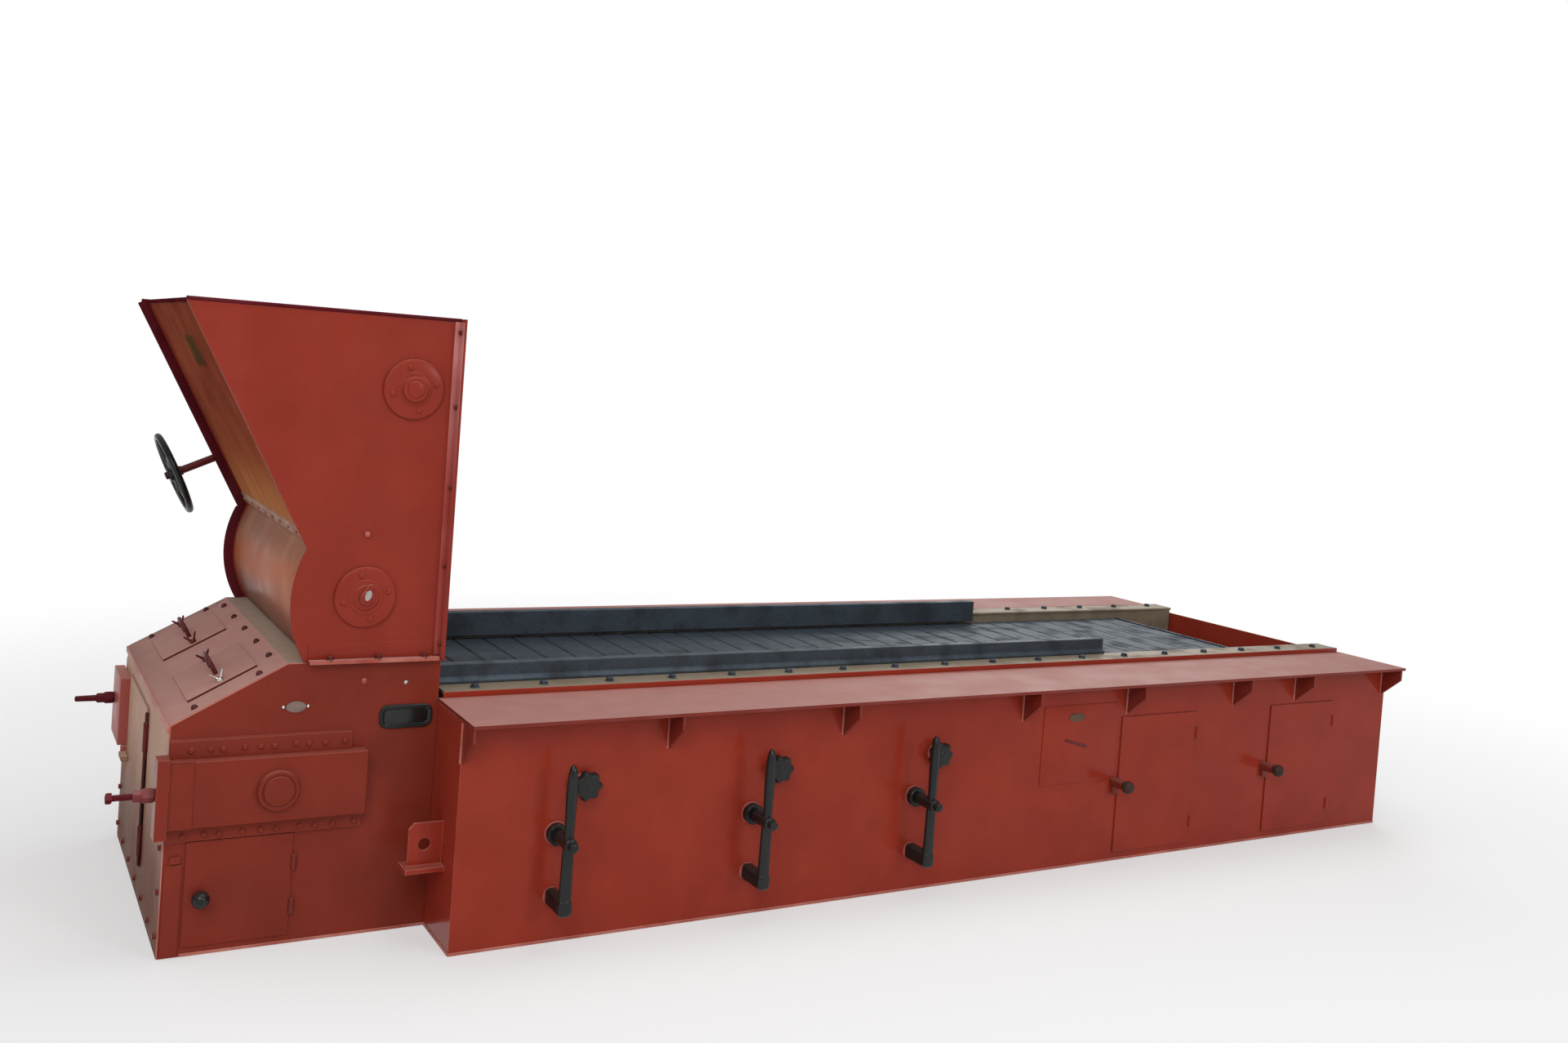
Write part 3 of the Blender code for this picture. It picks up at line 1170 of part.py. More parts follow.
def build_latches():
    """Turning latches beside the body doors; the tongue hangs down when the door is free."""
    face = WALL_Y + FIT
    plate = DOOR_PLATE + FIT
    for index, x in enumerate(rear_door_spans()):
        pivot = Vector((x[0] - LATCH_GAP - LATCH_BASE_R, -face, LATCH_Z))
        base = turned([(LATCH_BASE_R, 0.0), (LATCH_BASE_R, -2 * plate)], (0.0, 0.0, 0.0), "Y", SMALL_SIDES)
        knob = ball_knob(plate, LATCH_KNOB_STAND)
        tongue = box(about(0.0, LATCH_BASE_R), (-2 * plate + FIT, -plate - 4 * FIT), (-LATCH_TONGUE, 0.0))
        latch = moved(union(base, knob, tongue), Matrix.Translation(pivot))
        place("rear_door_latch_%d" % (index + 1), latch, "black", pivot)


def build_hatches():
    """Two ash hatches on the slope, with handles."""
    frame = slope_frame()
    slope = (HATCH_START, HATCH_START + HATCH_LENGTH)
    barrel_s = slope[1] + BARREL_R / 4
    for label, middle in zip(("near", "far"), HATCH_CENTRES):
        plate = box(slope, about(middle, HATCH_WIDTH), (FIT, FIT + DOOR_PLATE))
        rise = FIT + HINGE_STAND + FIT
        barrels = [turned([(BARREL_R, y - BARREL_LENGTH / 2), (BARREL_R, y + BARREL_LENGTH / 2)],
                          (barrel_s, 0.0, rise), "Y", SMALL_SIDES)
                   for y in (middle - HATCH_BARREL_Y, middle + HATCH_BARREL_Y)]
        s = (slope[0] + slope[1]) / 2
        low = FIT + DOOR_PLATE / 2
        shoulder = HANDLE_HEIGHT - HANDLE_CORNER
        flat = HANDLE_HALF - HANDLE_CORNER
        path = [(-HANDLE_HALF, low), (-HANDLE_HALF, shoulder), (-flat, HANDLE_HEIGHT),
                (flat, HANDLE_HEIGHT), (HANDLE_HALF, shoulder), (HANDLE_HALF, low)]
        grip = tube([(s, middle + y, n) for y, n in path], HANDLE_R)
        pivot = frame @ Vector((barrel_s, middle, rise))
        place("hatch_" + label, moved(union(plate, *barrels, grip), frame), "red", pivot)


def lever_mesh(x):
    """Return a damper lever: hub, flat lower bar, spindle grip above and stub towards the wall."""
    axis = (x, 0.0, DAMPER_Z)
    bar_y = -WALL_Y - LEVER_STANDOFF
    hub_in = -WALL_Y - DAMPER_BOSS - LEVER_HUB_GAP
    low = DAMPER_Z - LEVER_DOWN
    hub = turned([(LEVER_HUB_R, bar_y - LEVER_HUB_OUT), (LEVER_HUB_R, hub_in)], axis)
    bar = box(about(x, LEVER_WIDTH), about(bar_y, LEVER_PLATE), (low, DAMPER_Z))
    rise = LEVER_UP - GRIP_START - GRIP_TIP
    profile = [(GRIP_NECK_R, 0.0)]
    for step in range(GRIP_STEPS + 1):
        share = step / GRIP_STEPS
        swell = (GRIP_R - GRIP_NECK_R) * math.sin(math.pi * share)
        profile.append((GRIP_NECK_R + swell, GRIP_START + rise * share))
    profile.append((GRIP_TIP_R, LEVER_UP))
    grip = turned(profile, (x, bar_y, DAMPER_Z), "Z", SMALL_SIDES)
    stub = box(about(x, STUB_WIDTH), (bar_y, -WALL_Y - STUB_GAP), (low + WELD, low + WELD + STUB_HEIGHT))
    bore_r = DAMPER_R + RUN
    hole = turned([(bore_r, bar_y - 2 * LEVER_HUB_OUT), (bore_r, -WALL_Y)], axis)
    return cut(union(hub, bar, grip, stub), hole)


def star_mesh(x, z):
    """Return a lobed clamp knob on its stem."""
    face = -WALL_Y - STAR_STANDOFF
    stem = turned([(STAR_STEM_R, face - STAR_DEPTH / 2), (STAR_STEM_R, 2 * WALL_PLATE - WALL_Y)],
                  (x, 0.0, z), "Y", ROD_SIDES)
    outline = []
    count = LOBE_POINTS * STAR_LOBES
    for step in range(count):
        angle = 2 * math.pi * step / count
        radius = STAR_R + STAR_LOBE * math.cos(STAR_LOBES * angle)
        outline.append((x + radius * math.cos(angle), z + radius * math.sin(angle)))
    return union(stem, prism(outline, (face - STAR_DEPTH, face)))


def build_dampers():
    """Damper shafts with their shutters, levers and lock knobs."""
    foot = DAMPER_Z - SHUTTER_FOOT
    top = DAMPER_Z + WINDOW_RISE + WINDOW_HEIGHT + SHUTTER_LAP
    for index, x in enumerate(DAMPER_X):
        number = str(index + 1)
        axis = (x, 0.0, DAMPER_Z)
        far_end = SIDE_OUT + SHUTTER_GAP + SHUTTER_PLATE
        near_end = -WALL_Y - LEVER_STANDOFF - LEVER_HUB_OUT - FIT
        shaft = turned([(DAMPER_R, near_end), (DAMPER_R, far_end + SHUTTER_FOOT)], axis)
        shutter = rectangle(about(x, WINDOW_WIDTH + 2 * SHUTTER_LAP), (foot, top))
        shutters = [prism(shutter, span(side, far_end - SHUTTER_PLATE, far_end)) for side, _ in SIDES]
        place("damper_shaft_" + number, union(shaft, *shutters), "steel", axis)
        place("damper_lever_" + number, lever_mesh(x), "black", axis)
        knob = (x + STAR_OFFSET, 0.0, DAMPER_Z + STAR_RISE)
        place("damper_knob_" + number, star_mesh(knob[0], knob[2]), "black", knob)


def main():
    """Build every piece."""
    for thing in list(bpy.data.objects):
        bpy.data.objects.remove(thing)
    build_base()
    build_front_box()
    build_walls()
    build_rear_end()
    build_decks()
    build_grate_frames()
    build_air_box()
    build_belt()
    build_shafts()
    build_takeup()
    build_hopper()
    build_discs()
    build_coal_gate()
    build_worm_drive()
    build_feed_gate()
    build_doors()
    build_latches()
    build_hatches()
    build_dampers()


main()
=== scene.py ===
"""Looks of a chain-grate stoker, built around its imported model.

Lengths are metres in the model's own frame: X runs from the feed end to the rear, Y from the near
side to the far side, and Z up. Added pieces take their places from the boxes of the model's nodes.
"""

import json
import logging
import math
from dataclasses import dataclass
from enum import Enum
from typing import Optional, Sequence, Union

import bmesh
import bpy
import numpy as np
from mathutils import Matrix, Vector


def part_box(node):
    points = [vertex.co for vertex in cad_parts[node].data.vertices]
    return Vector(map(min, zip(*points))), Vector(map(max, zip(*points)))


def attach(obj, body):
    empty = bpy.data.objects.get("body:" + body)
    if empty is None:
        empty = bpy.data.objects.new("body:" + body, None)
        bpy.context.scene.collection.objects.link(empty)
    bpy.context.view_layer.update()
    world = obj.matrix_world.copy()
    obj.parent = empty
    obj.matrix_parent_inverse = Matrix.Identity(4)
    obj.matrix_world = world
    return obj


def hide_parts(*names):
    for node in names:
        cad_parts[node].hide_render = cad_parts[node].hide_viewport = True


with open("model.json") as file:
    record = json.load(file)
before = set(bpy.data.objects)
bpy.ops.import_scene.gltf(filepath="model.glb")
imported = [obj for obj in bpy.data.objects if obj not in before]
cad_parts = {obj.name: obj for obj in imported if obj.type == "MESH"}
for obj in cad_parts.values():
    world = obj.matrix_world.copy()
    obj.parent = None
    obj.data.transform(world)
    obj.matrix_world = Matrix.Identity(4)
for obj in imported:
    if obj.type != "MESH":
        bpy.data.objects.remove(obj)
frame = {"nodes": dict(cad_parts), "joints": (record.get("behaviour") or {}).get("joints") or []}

LOG = logging.getLogger("stoker")
SHARP = math.radians(38.0)
BROKEN = math.radians(40.0)
FLAT = math.radians(1.0)
MERGE = 1e-6
WELD = 1e-5
TURN = 2.0 * math.pi

Array = np.ndarray
Colour = tuple[float, float, float, float]
Pair = tuple[float, float]
Triple = tuple[float, float, float]
Profile = Sequence[Pair]
Socket = bpy.types.NodeSocket
Value = Union[Socket, float, tuple]

UPRIGHT = np.eye(3)
ALONG: Triple = (1.0, 0.0, 0.0)
ACROSS: Triple = (0.0, 1.0, 0.0)


def srgb(*screen: int) -> Colour:
    """Turn red, green and blue screen values of 0 to 255 into linear light, fully opaque."""
    share = np.array(screen) / 255.0
    return (*np.where(share <= 0.04045, share / 12.92, ((share + 0.055) / 1.055) ** 2.4).tolist(), 1.0)


class Sketch:
    """Node layout of one material."""

    def __init__(self, name: str) -> None:
        """Start a material with one shader.

        Args:
            name: Name of the material.
        """
        self.material = bpy.data.materials.new(name)
        self.material.use_nodes = True
        self.tree = self.material.node_tree
        self.tree.nodes.clear()
        self.shader = self.add("ShaderNodeBsdfPrincipled")
        output = self.add("ShaderNodeOutputMaterial")
        self.tree.links.new(self.shader.outputs[0], output.inputs["Surface"])
        self.coordinates = self.add("ShaderNodeTexCoord")

    def add(self, kind: str, **settings: object) -> bpy.types.Node:
        """Add a node.

        Args:
            kind: Blender's name of the node.
            **settings: Properties of the node.

        Returns:
            The new node.
        """
        node = self.tree.nodes.new(kind)
        for key, value in settings.items():
            setattr(node, key, value)
        return node

    def feed(self, socket: Socket, value: Value) -> None:
        """Link a socket to another one, or set it to a value.

        Args:
            socket: Socket that takes the value.
            value: A node's output, or a plain value.
        """
        if isinstance(value, bpy.types.NodeSocket):
            self.tree.links.new(value, socket)
        else:
            socket.default_value = value

    def noise(self, scale: float, detail: float = 3.0, stretch: Triple = (1.0, 1.0, 1.0)) -> Socket:
        """Add noise on the piece's own coordinates.

        Args:
            scale: Waves per metre.
            detail: Octaves.
            stretch: Factors on the three coordinates.

        Returns:
            The noise value.
        """
        mapping = self.add("ShaderNodeMapping")
        mapping.inputs["Scale"].default_value = stretch
        self.feed(mapping.inputs["Vector"], self.coordinates.outputs["Object"])
        node = self.add("ShaderNodeTexNoise")
        node.inputs["Scale"].default_value = scale
        node.inputs["Detail"].default_value = detail
        self.feed(node.inputs["Vector"], mapping.outputs["Vector"])
        return node.outputs[0]

    def step(self, value: Value, low: float, high: float, bottom: float = 0.0, top: float = 1.0) -> Socket:
        """Carry a value smoothly from bottom to top as it goes from low to high.

        Args:
            value: The value to carry.
            low: Where it starts to rise.
            high: Where it stops.
            bottom: What comes out at low.
            top: What comes out at high.

        Returns:
            The carried value.
        """
        node = self.add("ShaderNodeMapRange", interpolation_type="SMOOTHSTEP")
        for socket, number in zip(node.inputs, (value, low, high, bottom, top)):
            self.feed(socket, number)
        return node.outputs[0]

    def math(self, operation: str, first: Value, second: Value) -> Socket:
        """Add a sum, product or other operation on two values.

        Args:
            operation: Blender's name of the operation.
            first: First value.
            second: Second value.

        Returns:
            The result.
        """
        node = self.add("ShaderNodeMath", operation=operation)
        self.feed(node.inputs[0], first)
        self.feed(node.inputs[1], second)
        return node.outputs[0]

    def mix(self, share: Value, first: Value, second: Value) -> Socket:
        """Mix two colours.

        Args:
            share: Share of the second colour.
            first: First colour.
            second: Second colour.

        Returns:
            The mixed colour.
        """
        node = self.add("ShaderNodeMix", data_type="RGBA")
        for index, value in ((0, share), (6, first), (7, second)):
            self.feed(node.inputs[index], value)
        return node.outputs[2]

    def rise(self, source: str, low: float, high: float) -> Socket:
        """Carry the upward part of a place or a normal smoothly from 0 at low to 1 at high.

        Args:
            source: Object for the place, or Normal.
            low: Where it starts to rise.
            high: Where it stops, which may be below low.

        Returns:
            A value of 0 to 1.
        """
        split = self.add("ShaderNodeSeparateXYZ")
        self.feed(split.inputs[0], self.coordinates.outputs[source])
        return self.step(split.outputs["Z"], low, high)

    def relief(self, height: Value, strength: float, distance: float) -> None:
        """Give the shader a bump.

        Args:
            height: Height of the surface.
            strength: Share of the bump that shows.
            distance: Height of the bump in metres.
        """
        node = self.add("ShaderNodeBump")
        node.inputs["Strength"].default_value = strength
        node.inputs["Distance"].default_value = distance
        self.feed(node.inputs["Height"], height)
        self.feed(self.shader.inputs["Normal"], node.outputs["Normal"])


@dataclass(frozen=True)
class Paint:
    """Paint on steel: darker patches, specks, runs, dust on what looks up, painted light and reflections."""

    name: str
    colour: Colour
    deep: Colour
    dust: Colour
    lying: float = 0.8
    film: float = 0.12
    roughness: float = 0.30
    skin: float = 0.06
    gloss: float = 0.22
    level: Optional[Colour] = None
    # Colour the paint turns to lower down, between two heights: a painted shade or painted highlight for how
    # light falls.
    lower_painted_light: Optional[Colour] = None
    lower_painted_light_heights: Pair = (0.50, 0.05)
    # Colour of soft bands round a height: painted reflections.
    painted_reflection: Optional[Colour] = None
    painted_reflection_stretch: Triple = (1.0, 0.10, 1.0)
    painted_reflection_at: Pair = (1.10, 0.10)

    def material(self) -> bpy.types.Material:
        """Make the material.

        Returns:
            The material.
        """
        sketch = Sketch(self.name)
        patches = sketch.step(sketch.noise(4.5, 7.0), 0.34, 0.68)
        specks = sketch.step(sketch.noise(70.0, 2.0), 0.58, 0.74, top=0.45)
        colour = sketch.mix(specks, sketch.mix(patches, self.deep, self.colour), self.deep)
        # Painted light or shade that changes with height.
        if self.lower_painted_light:
            colour = sketch.mix(sketch.rise("Object", *self.lower_painted_light_heights), colour, self.lower_painted_light)
        # Painted reflection bands round a height.
        if self.painted_reflection:
            reflection_bands = sketch.step(sketch.noise(9.0, 1.5, self.painted_reflection_stretch), 0.22, 0.58, top=0.75)
            height, half = self.painted_reflection_at
            for end in (height - half, height + half):
                reflection_bands = sketch.math("MULTIPLY", reflection_bands, sketch.rise("Object", end, height))
            colour = sketch.mix(reflection_bands, colour, self.painted_reflection)
        runs = sketch.step(sketch.noise(7.0, 4.0, (1.0, 1.0, 0.14)), 0.46, 0.80, top=self.film)
        veil = sketch.step(sketch.noise(3.1, 6.0), 0.42, 0.78, top=self.film)
        colour = sketch.mix(sketch.math("MAXIMUM", runs, veil), colour, self.dust)
        patchy = sketch.step(sketch.noise(11.0, 6.0), 0.30, 0.70, 0.88 * self.lying, self.lying)
        lying = sketch.math("MULTIPLY", sketch.rise("Normal", 0.30, 0.85), patchy)
        dust = self.dust
        if self.level:
            dust = sketch.mix(sketch.rise("Normal", 0.92, 0.99), self.dust, self.level)
        sketch.feed(sketch.shader.inputs["Base Color"], sketch.mix(lying, colour, dust))
        sheen = sketch.step(sketch.noise(5.0, 4.0), 0.35, 0.70, self.roughness - 0.06, self.roughness + 0.08)
        dull = sketch.math("MULTIPLY", lying, 0.30)
        sketch.feed(sketch.shader.inputs["Roughness"], sketch.math("ADD", sheen, dull))
        sketch.shader.inputs["Specular IOR Level"].default_value = self.gloss
        waves = sketch.math("MULTIPLY", sketch.noise(6.0, 3.0), 4.0)
        sketch.relief(sketch.math("ADD", sketch.noise(160.0, 2.0), waves), self.skin, distance=0.004)
        return sketch.material


@dataclass(frozen=True)
class Metal:
    """Bare metal: drawn or cast grain, stains and pits."""

    name: str
    colour: Colour
    stain: Colour
    roughness: float = 0.42
    metallic: float = 0.85
    drawn: Triple = (1.0, 1.0, 1.0)
    grain: float = 120.0
    pits: float = 0.15

    def material(self) -> bpy.types.Material:
        """Make the material.

        Returns:
            The material.
        """
        sketch = Sketch(self.name)
        stains = sketch.step(sketch.noise(8.0, 6.0), 0.40, 0.72)
        lines = sketch.noise(self.grain, 3.0, self.drawn)
        colour = sketch.mix(sketch.step(lines, 0.40, 0.75, top=0.35), self.colour, self.stain)
        colour = sketch.mix(sketch.math("MULTIPLY", stains, 0.7), colour, self.stain)
        sketch.feed(sketch.shader.inputs["Base Color"], colour)
        sketch.shader.inputs["Metallic"].default_value = self.metallic
        sheen = sketch.step(stains, 0.0, 1.0, self.roughness, self.roughness + 0.22)
        sketch.feed(sketch.shader.inputs["Roughness"], sheen)
        sketch.relief(sketch.math("ADD", lines, sketch.noise(40.0, 4.0)), self.pits, distance=0.002)
        return sketch.material


class Coat(Enum):
    """Finishes of the stoker."""

    RED = Paint("red_oxide_paint", srgb(150, 51, 35), srgb(141, 47, 32), srgb(166, 92, 78), film=0.05,
                roughness=0.20, gloss=0.13)
    # A darker copy of the red oxide for the feed end's sides, carriages and near guide: partly their own
    # paint, partly painted shade.
    FRONT = Paint("front_side_paint", srgb(129, 47, 33), srgb(120, 44, 31), srgb(150, 80, 68), film=0.06,
                  gloss=0.10)
    HOPPER = Paint("hopper_side_paint", srgb(144, 51, 38), srgb(136, 48, 36), srgb(160, 86, 74), film=0.05,
                   gloss=0.10)
    # The tan towards the sheet's foot is a painted highlight, and the pale bands across it are painted
    # reflections.
    SHEET = Paint("hopper_front_paint", srgb(150, 76, 55), srgb(128, 62, 45), srgb(170, 106, 66), lying=0.4,
                  film=0.15, roughness=0.42, gloss=0.0, lower_painted_light=srgb(176, 102, 64), lower_painted_light_heights=(1.72, 1.22),
                  painted_reflection=srgb(200, 140, 92), painted_reflection_stretch=(0.10, 1.0, 0.10), painted_reflection_at=(1.32, 0.24))
    # The darker brown low on the drum is painted shade, and the orange band across it is a painted
    # reflection.
    DRUM = Paint("drum_sheet_paint", srgb(186, 134, 110), srgb(160, 106, 82), srgb(206, 176, 156), lying=0.3,
                 film=0.04, roughness=0.34, gloss=0.03, lower_painted_light=srgb(136, 86, 70), lower_painted_light_heights=(1.14, 0.98),
                 painted_reflection=srgb(190, 92, 34), painted_reflection_at=(1.12, 0.13))
    # Pale dust on the front face; the browner tone towards the bottom is painted shade.
    DUSTY = Paint("dusty_front_paint", srgb(196, 156, 134), srgb(188, 148, 126), srgb(206, 172, 150),
                  film=0.0, roughness=0.52, gloss=0.05, lower_painted_light=srgb(118, 78, 62), lower_painted_light_heights=(0.60, 0.14))
    DECK = Paint("dusty_top_paint", srgb(124, 40, 30), srgb(112, 37, 28), srgb(166, 118, 110), lying=0.92)
    # Lighter than the deck's dusty paint: partly real dust, partly painted light making up for the light the
    # slope gets.
    SLOPE = Paint("dusty_slope_paint", srgb(158, 84, 74), srgb(146, 76, 68), srgb(196, 152, 143), lying=0.96,
                  film=0.0, roughness=0.50, gloss=0.08, level=srgb(186, 168, 152))
    SHADE = Paint("shaded_red_paint", srgb(116, 39, 30), srgb(98, 33, 27), srgb(140, 84, 76))
    # A pale copy of the red paint, used as painted light: on the far take-up guide, the damper rings and
    # pads, and the gate's indicator stud.
    FLANGE = Paint("flange_paint", srgb(176, 92, 84), srgb(158, 74, 66), srgb(198, 136, 128), film=0.2,
                   roughness=0.40)
    LILAC = Paint("nut_paint", srgb(120, 53, 54), srgb(102, 43, 44), srgb(160, 106, 106), film=0.15,
                  roughness=0.40, gloss=0.05)
    # The rear angle's pale pink is a painted highlight, fading to darker red lower down.
    LEG = Paint("rear_flange_paint", srgb(204, 136, 134), srgb(182, 108, 104), srgb(214, 160, 156), film=0.2,
                roughness=0.40, lower_painted_light=srgb(160, 68, 58), lower_painted_light_heights=(1.98, 1.40))
    TAN = Paint("tan_strip_paint", srgb(176, 128, 104), srgb(150, 98, 76), srgb(196, 160, 138), film=0.3,
                roughness=0.44, gloss=0.10)
    EDGE = Paint("worn_edge_paint", srgb(186, 108, 92), srgb(156, 66, 52), srgb(200, 150, 140), film=0.4,
                 roughness=0.45)
    RIM = Paint("hopper_rim_paint", srgb(96, 28, 36), srgb(76, 23, 29), srgb(140, 80, 84), lying=0.3,
                gloss=0.0)
    ROD = Paint("handle_paint", srgb(98, 29, 29), srgb(78, 24, 25), srgb(150, 84, 82), lying=0.3)
    BLACK = Paint("black_enamel", srgb(27, 30, 29), srgb(19, 21, 21), srgb(84, 82, 78), lying=0.2,
                  film=0.03, roughness=0.30, gloss=0.30)
    BOLT = Paint("dark_bolt_paint", srgb(80, 27, 26), srgb(58, 22, 22), srgb(130, 84, 78), lying=0.2,
                 roughness=0.40)
    KNOB = Paint("worn_knob_paint", srgb(64, 46, 38), srgb(48, 34, 28), srgb(100, 74, 62), lying=0.2,
                 film=0.10, roughness=0.35, gloss=0.15)
    SEAM = Paint("seam_shadow", srgb(70, 30, 26), srgb(54, 24, 22), srgb(96, 56, 50), lying=0.1,
                 roughness=0.6, gloss=0.05)
    UMBER = Paint("blank_plate_brown", srgb(106, 76, 50), srgb(84, 58, 38), srgb(138, 106, 74), film=0.25,
                  roughness=0.45, gloss=0.0)
    IRON = Metal("blue_black_iron", srgb(66, 76, 86), srgb(42, 46, 52), roughness=0.50, metallic=0.55,
                 grain=90.0, pits=0.3)
    LEDGE = Metal("ledge_steel", srgb(142, 128, 108), srgb(108, 94, 78), roughness=0.52, metallic=0.35,
                  drawn=(0.1, 1.0, 1.0))
    STEEL = Metal("machined_steel", srgb(176, 172, 166), srgb(132, 126, 120), roughness=0.34, metallic=0.95,
                  drawn=(1.0, 0.1, 1.0))
    BRIGHT = Metal("bright_steel", srgb(214, 210, 206), srgb(176, 168, 164), roughness=0.24, metallic=1.0)
    PLATE = Metal("blank_plate_alloy", srgb(132, 112, 104), srgb(96, 76, 70), roughness=0.46, metallic=0.4,
                  drawn=(0.1, 1.0, 1.0))
    OLIVE = Metal("blank_plate_bronze", srgb(98, 72, 54), srgb(80, 56, 44), roughness=0.45, metallic=0.3,
                  drawn=(1.0, 0.1, 1.0))
    GLASS = Paint("sight_glass", srgb(20, 22, 22), srgb(12, 14, 14), srgb(60, 62, 62), lying=0.1, film=0.04,
                  roughness=0.16, skin=0.02, gloss=0.4)

    def material(self) -> bpy.types.Material:
        """Return the finish's material, made on first use."""
        return bpy.data.materials.get(self.value.name) or self.value.material()


class Slot(Enum):
    """Material slots of the record."""

    RED = "red_paint"
    BLACK = "black_paint"
    IRON = "cast_iron"
    STEEL = "steel"


def axes(right: Triple, up: Triple, outward: Triple) -> Array:
    """Return the axes of a piece as the columns of a matrix."""
    return np.array((right, up, outward), float).T


NEAR = axes((1, 0, 0), (0, 0, 1), (0, -1, 0))
FAR = axes((-1, 0, 0), (0, 0, 1), (0, 1, 0))
FRONT = axes((0, -1, 0), (0, 0, 1), (-1, 0, 0))
REAR = axes((0, 1, 0), (0, 0, 1), (1, 0, 0))
TOP = axes((1, 0, 0), (0, 1, 0), (0, 0, 1))


class Flank(Enum):
    """Sides of the stoker, by their signs along Y."""

    NEAR = -1
    FAR = 1

    @property
    def label(self) -> str:
        """Return the side's name in the model."""
        return self.name.lower()

    def parts(self) -> tuple[int, str, Array]:
        """Return the side's sign along Y, its name and the axes of what lies on it."""
        return self.value, self.label, NEAR if self is Flank.NEAR else FAR


@dataclass
class Surface:
    """Points in space and the faces that join them, grouped by their number of corners."""

    points: Array
    faces: list[Array]

    def put(self, turn: Array, place: Sequence[float]) -> "Surface":
        """Return the surface turned by a matrix of three columns, then moved."""
        return Surface(self.points @ np.asarray(turn, float).T + np.asarray(place, float), self.faces)

    def copies(self, places: Array, turns: Array) -> "Surface":
        """Return copies of the surface: copy k is its points under turn k, plus place k.

        Args:
            places: One row for each copy.
            turns: One matrix for all copies, or one for each.

        Returns:
            All copies as one surface.
        """
        places = np.asarray(places, float).reshape(-1, 3)
        turns = np.broadcast_to(turns, (len(places), 3, 3))
        points = np.einsum("kij,nj->kni", turns, self.points) + places[:, None]
        start = np.arange(len(places)) * len(self.points)
        faces = [(face[None] + start[:, None, None]).reshape(-1, face.shape[1]) for face in self.faces]
        return Surface(points.reshape(-1, 3), faces)


def joined(*parts: Surface) -> Surface:
    """Return several surfaces as one.

    Args:
        *parts: The surfaces.

    Returns:
        All of them.
    """
    starts = np.cumsum([0] + [len(part.points) for part in parts])
    faces = [face + start for part, start in zip(parts, starts) for face in part.faces]
    return Surface(np.concatenate([part.points for part in parts]), faces)


def lattice(points: Array, closed: bool = False) -> Surface:
    """Join a grid of points by quads.

    Row i and column j are the surface's two parameters. The columns close round, and the rows
    close too or end in flat caps.

    Args:
        points: Grid of rows by columns by 3.
        closed: True when the last row meets the first.

    Returns:
        The closed surface.
    """
    rows, columns = points.shape[:2]
    i = np.arange(rows if closed else rows - 1)[:, None]
    j = np.arange(columns)[None]
    k, m = (i + 1) % rows, (j + 1) % columns
    corners = (i * columns + j, i * columns + m, k * columns + m, k * columns + j)
    faces = [np.stack(np.broadcast_arrays(*corners), axis=-1).reshape(-1, 4)]
    if not closed:
        ring = np.arange(columns)
        faces.append(np.stack([ring[::-1], ring + (rows - 1) * columns]))
    return Surface(points.reshape(-1, 3), faces)


def turned(profile: Profile, sides: int = 32, ring: bool = False) -> Surface:
    """Turn a profile round the outward axis: (r cos a, r sin a, h) at each radius r, height h and angle a.

    Args:
        profile: Radius and height of each point.
        sides: Facets round the axis.
        ring: True when the profile closes on itself round a bore.

    Returns:
        The turned surface.
    """
    radius, height = np.asarray(profile, float).T[:, :, None]
    angle = np.linspace(0.0, TURN, sides, endpoint=False)
    grid = np.broadcast_arrays(radius * np.cos(angle), radius * np.sin(angle), height)
    return lattice(np.stack(grid, axis=-1), ring)


def rounded(width: float, height: float, corner: float, steps: int = 5) -> Array:
    """Return a rectangle with quarter-circle corners: corner centre plus r (cos a, sin a).

    Args:
        width: Its width.
        height: Its height.
        corner: Radius r of its corners.
        steps: Facets of a corner.

    Returns:
        Points round the rectangle.
    """
    angle = np.arange(4)[:, None] * TURN / 4 + np.linspace(0.0, TURN / 4, steps + 1)
    signs = np.array(((1, 1), (-1, 1), (-1, -1), (1, -1)))
    centre = signs * (np.array((width, height)) / 2 - corner)
    return (centre[:, None] + corner * np.stack((np.cos(angle), np.sin(angle)), -1)).reshape(-1, 2)


def oval(width: float, height: float, steps: int = 40) -> Array:
    """Return an ellipse: half the width times cos a, half the height times sin a."""
    angle = np.linspace(0.0, TURN, steps, endpoint=False)
    return np.stack((width / 2 * np.cos(angle), height / 2 * np.sin(angle)), -1)


def lobed(radius: float, lobe: float, count: int, steps: int = 80) -> Array:
    """Return a lobed circle: its radius at angle a is radius + lobe cos(count a).

    Args:
        radius: Mean radius.
        lobe: Height of the lobes.
        count: Number of lobes.
        steps: Points round the circle.

    Returns:
        Points round the circle.
    """
    angle = np.linspace(0.0, TURN, steps, endpoint=False)
    reach = radius + lobe * np.cos(count * angle)
    return np.stack((reach * np.cos(angle), reach * np.sin(angle)), -1)


def outward(outline: Array) -> Array:
    """Return the unit normals of an outline that runs round to the left.

    Args:
        outline: Points round the outline.

    Returns:
        One normal for each point.
    """
    along = np.roll(outline, -1, 0) - np.roll(outline, 1, 0)
    along = along / np.linalg.norm(along, axis=1, keepdims=True)
    return np.stack((along[:, 1], -along[:, 0]), -1)


def carried(outline: Array, section: Array, closed: bool) -> Surface:
    """Carry a section round an outline: outline + q normal, at height w, for each section point (q, w).

    Args:
        outline: Points round the outline.
        section: Offsets along the normal, and heights.
        closed: True for a frame whose section closes, False for a plate with flat faces.

    Returns:
        The frame or plate.
    """
    rings = outline[None] + section[:, 0, None, None] * outward(outline)[None]
    height = np.broadcast_to(section[:, 1, None, None], rings.shape[:2] + (1,))
    return lattice(np.concatenate((rings, height), axis=-1), closed)


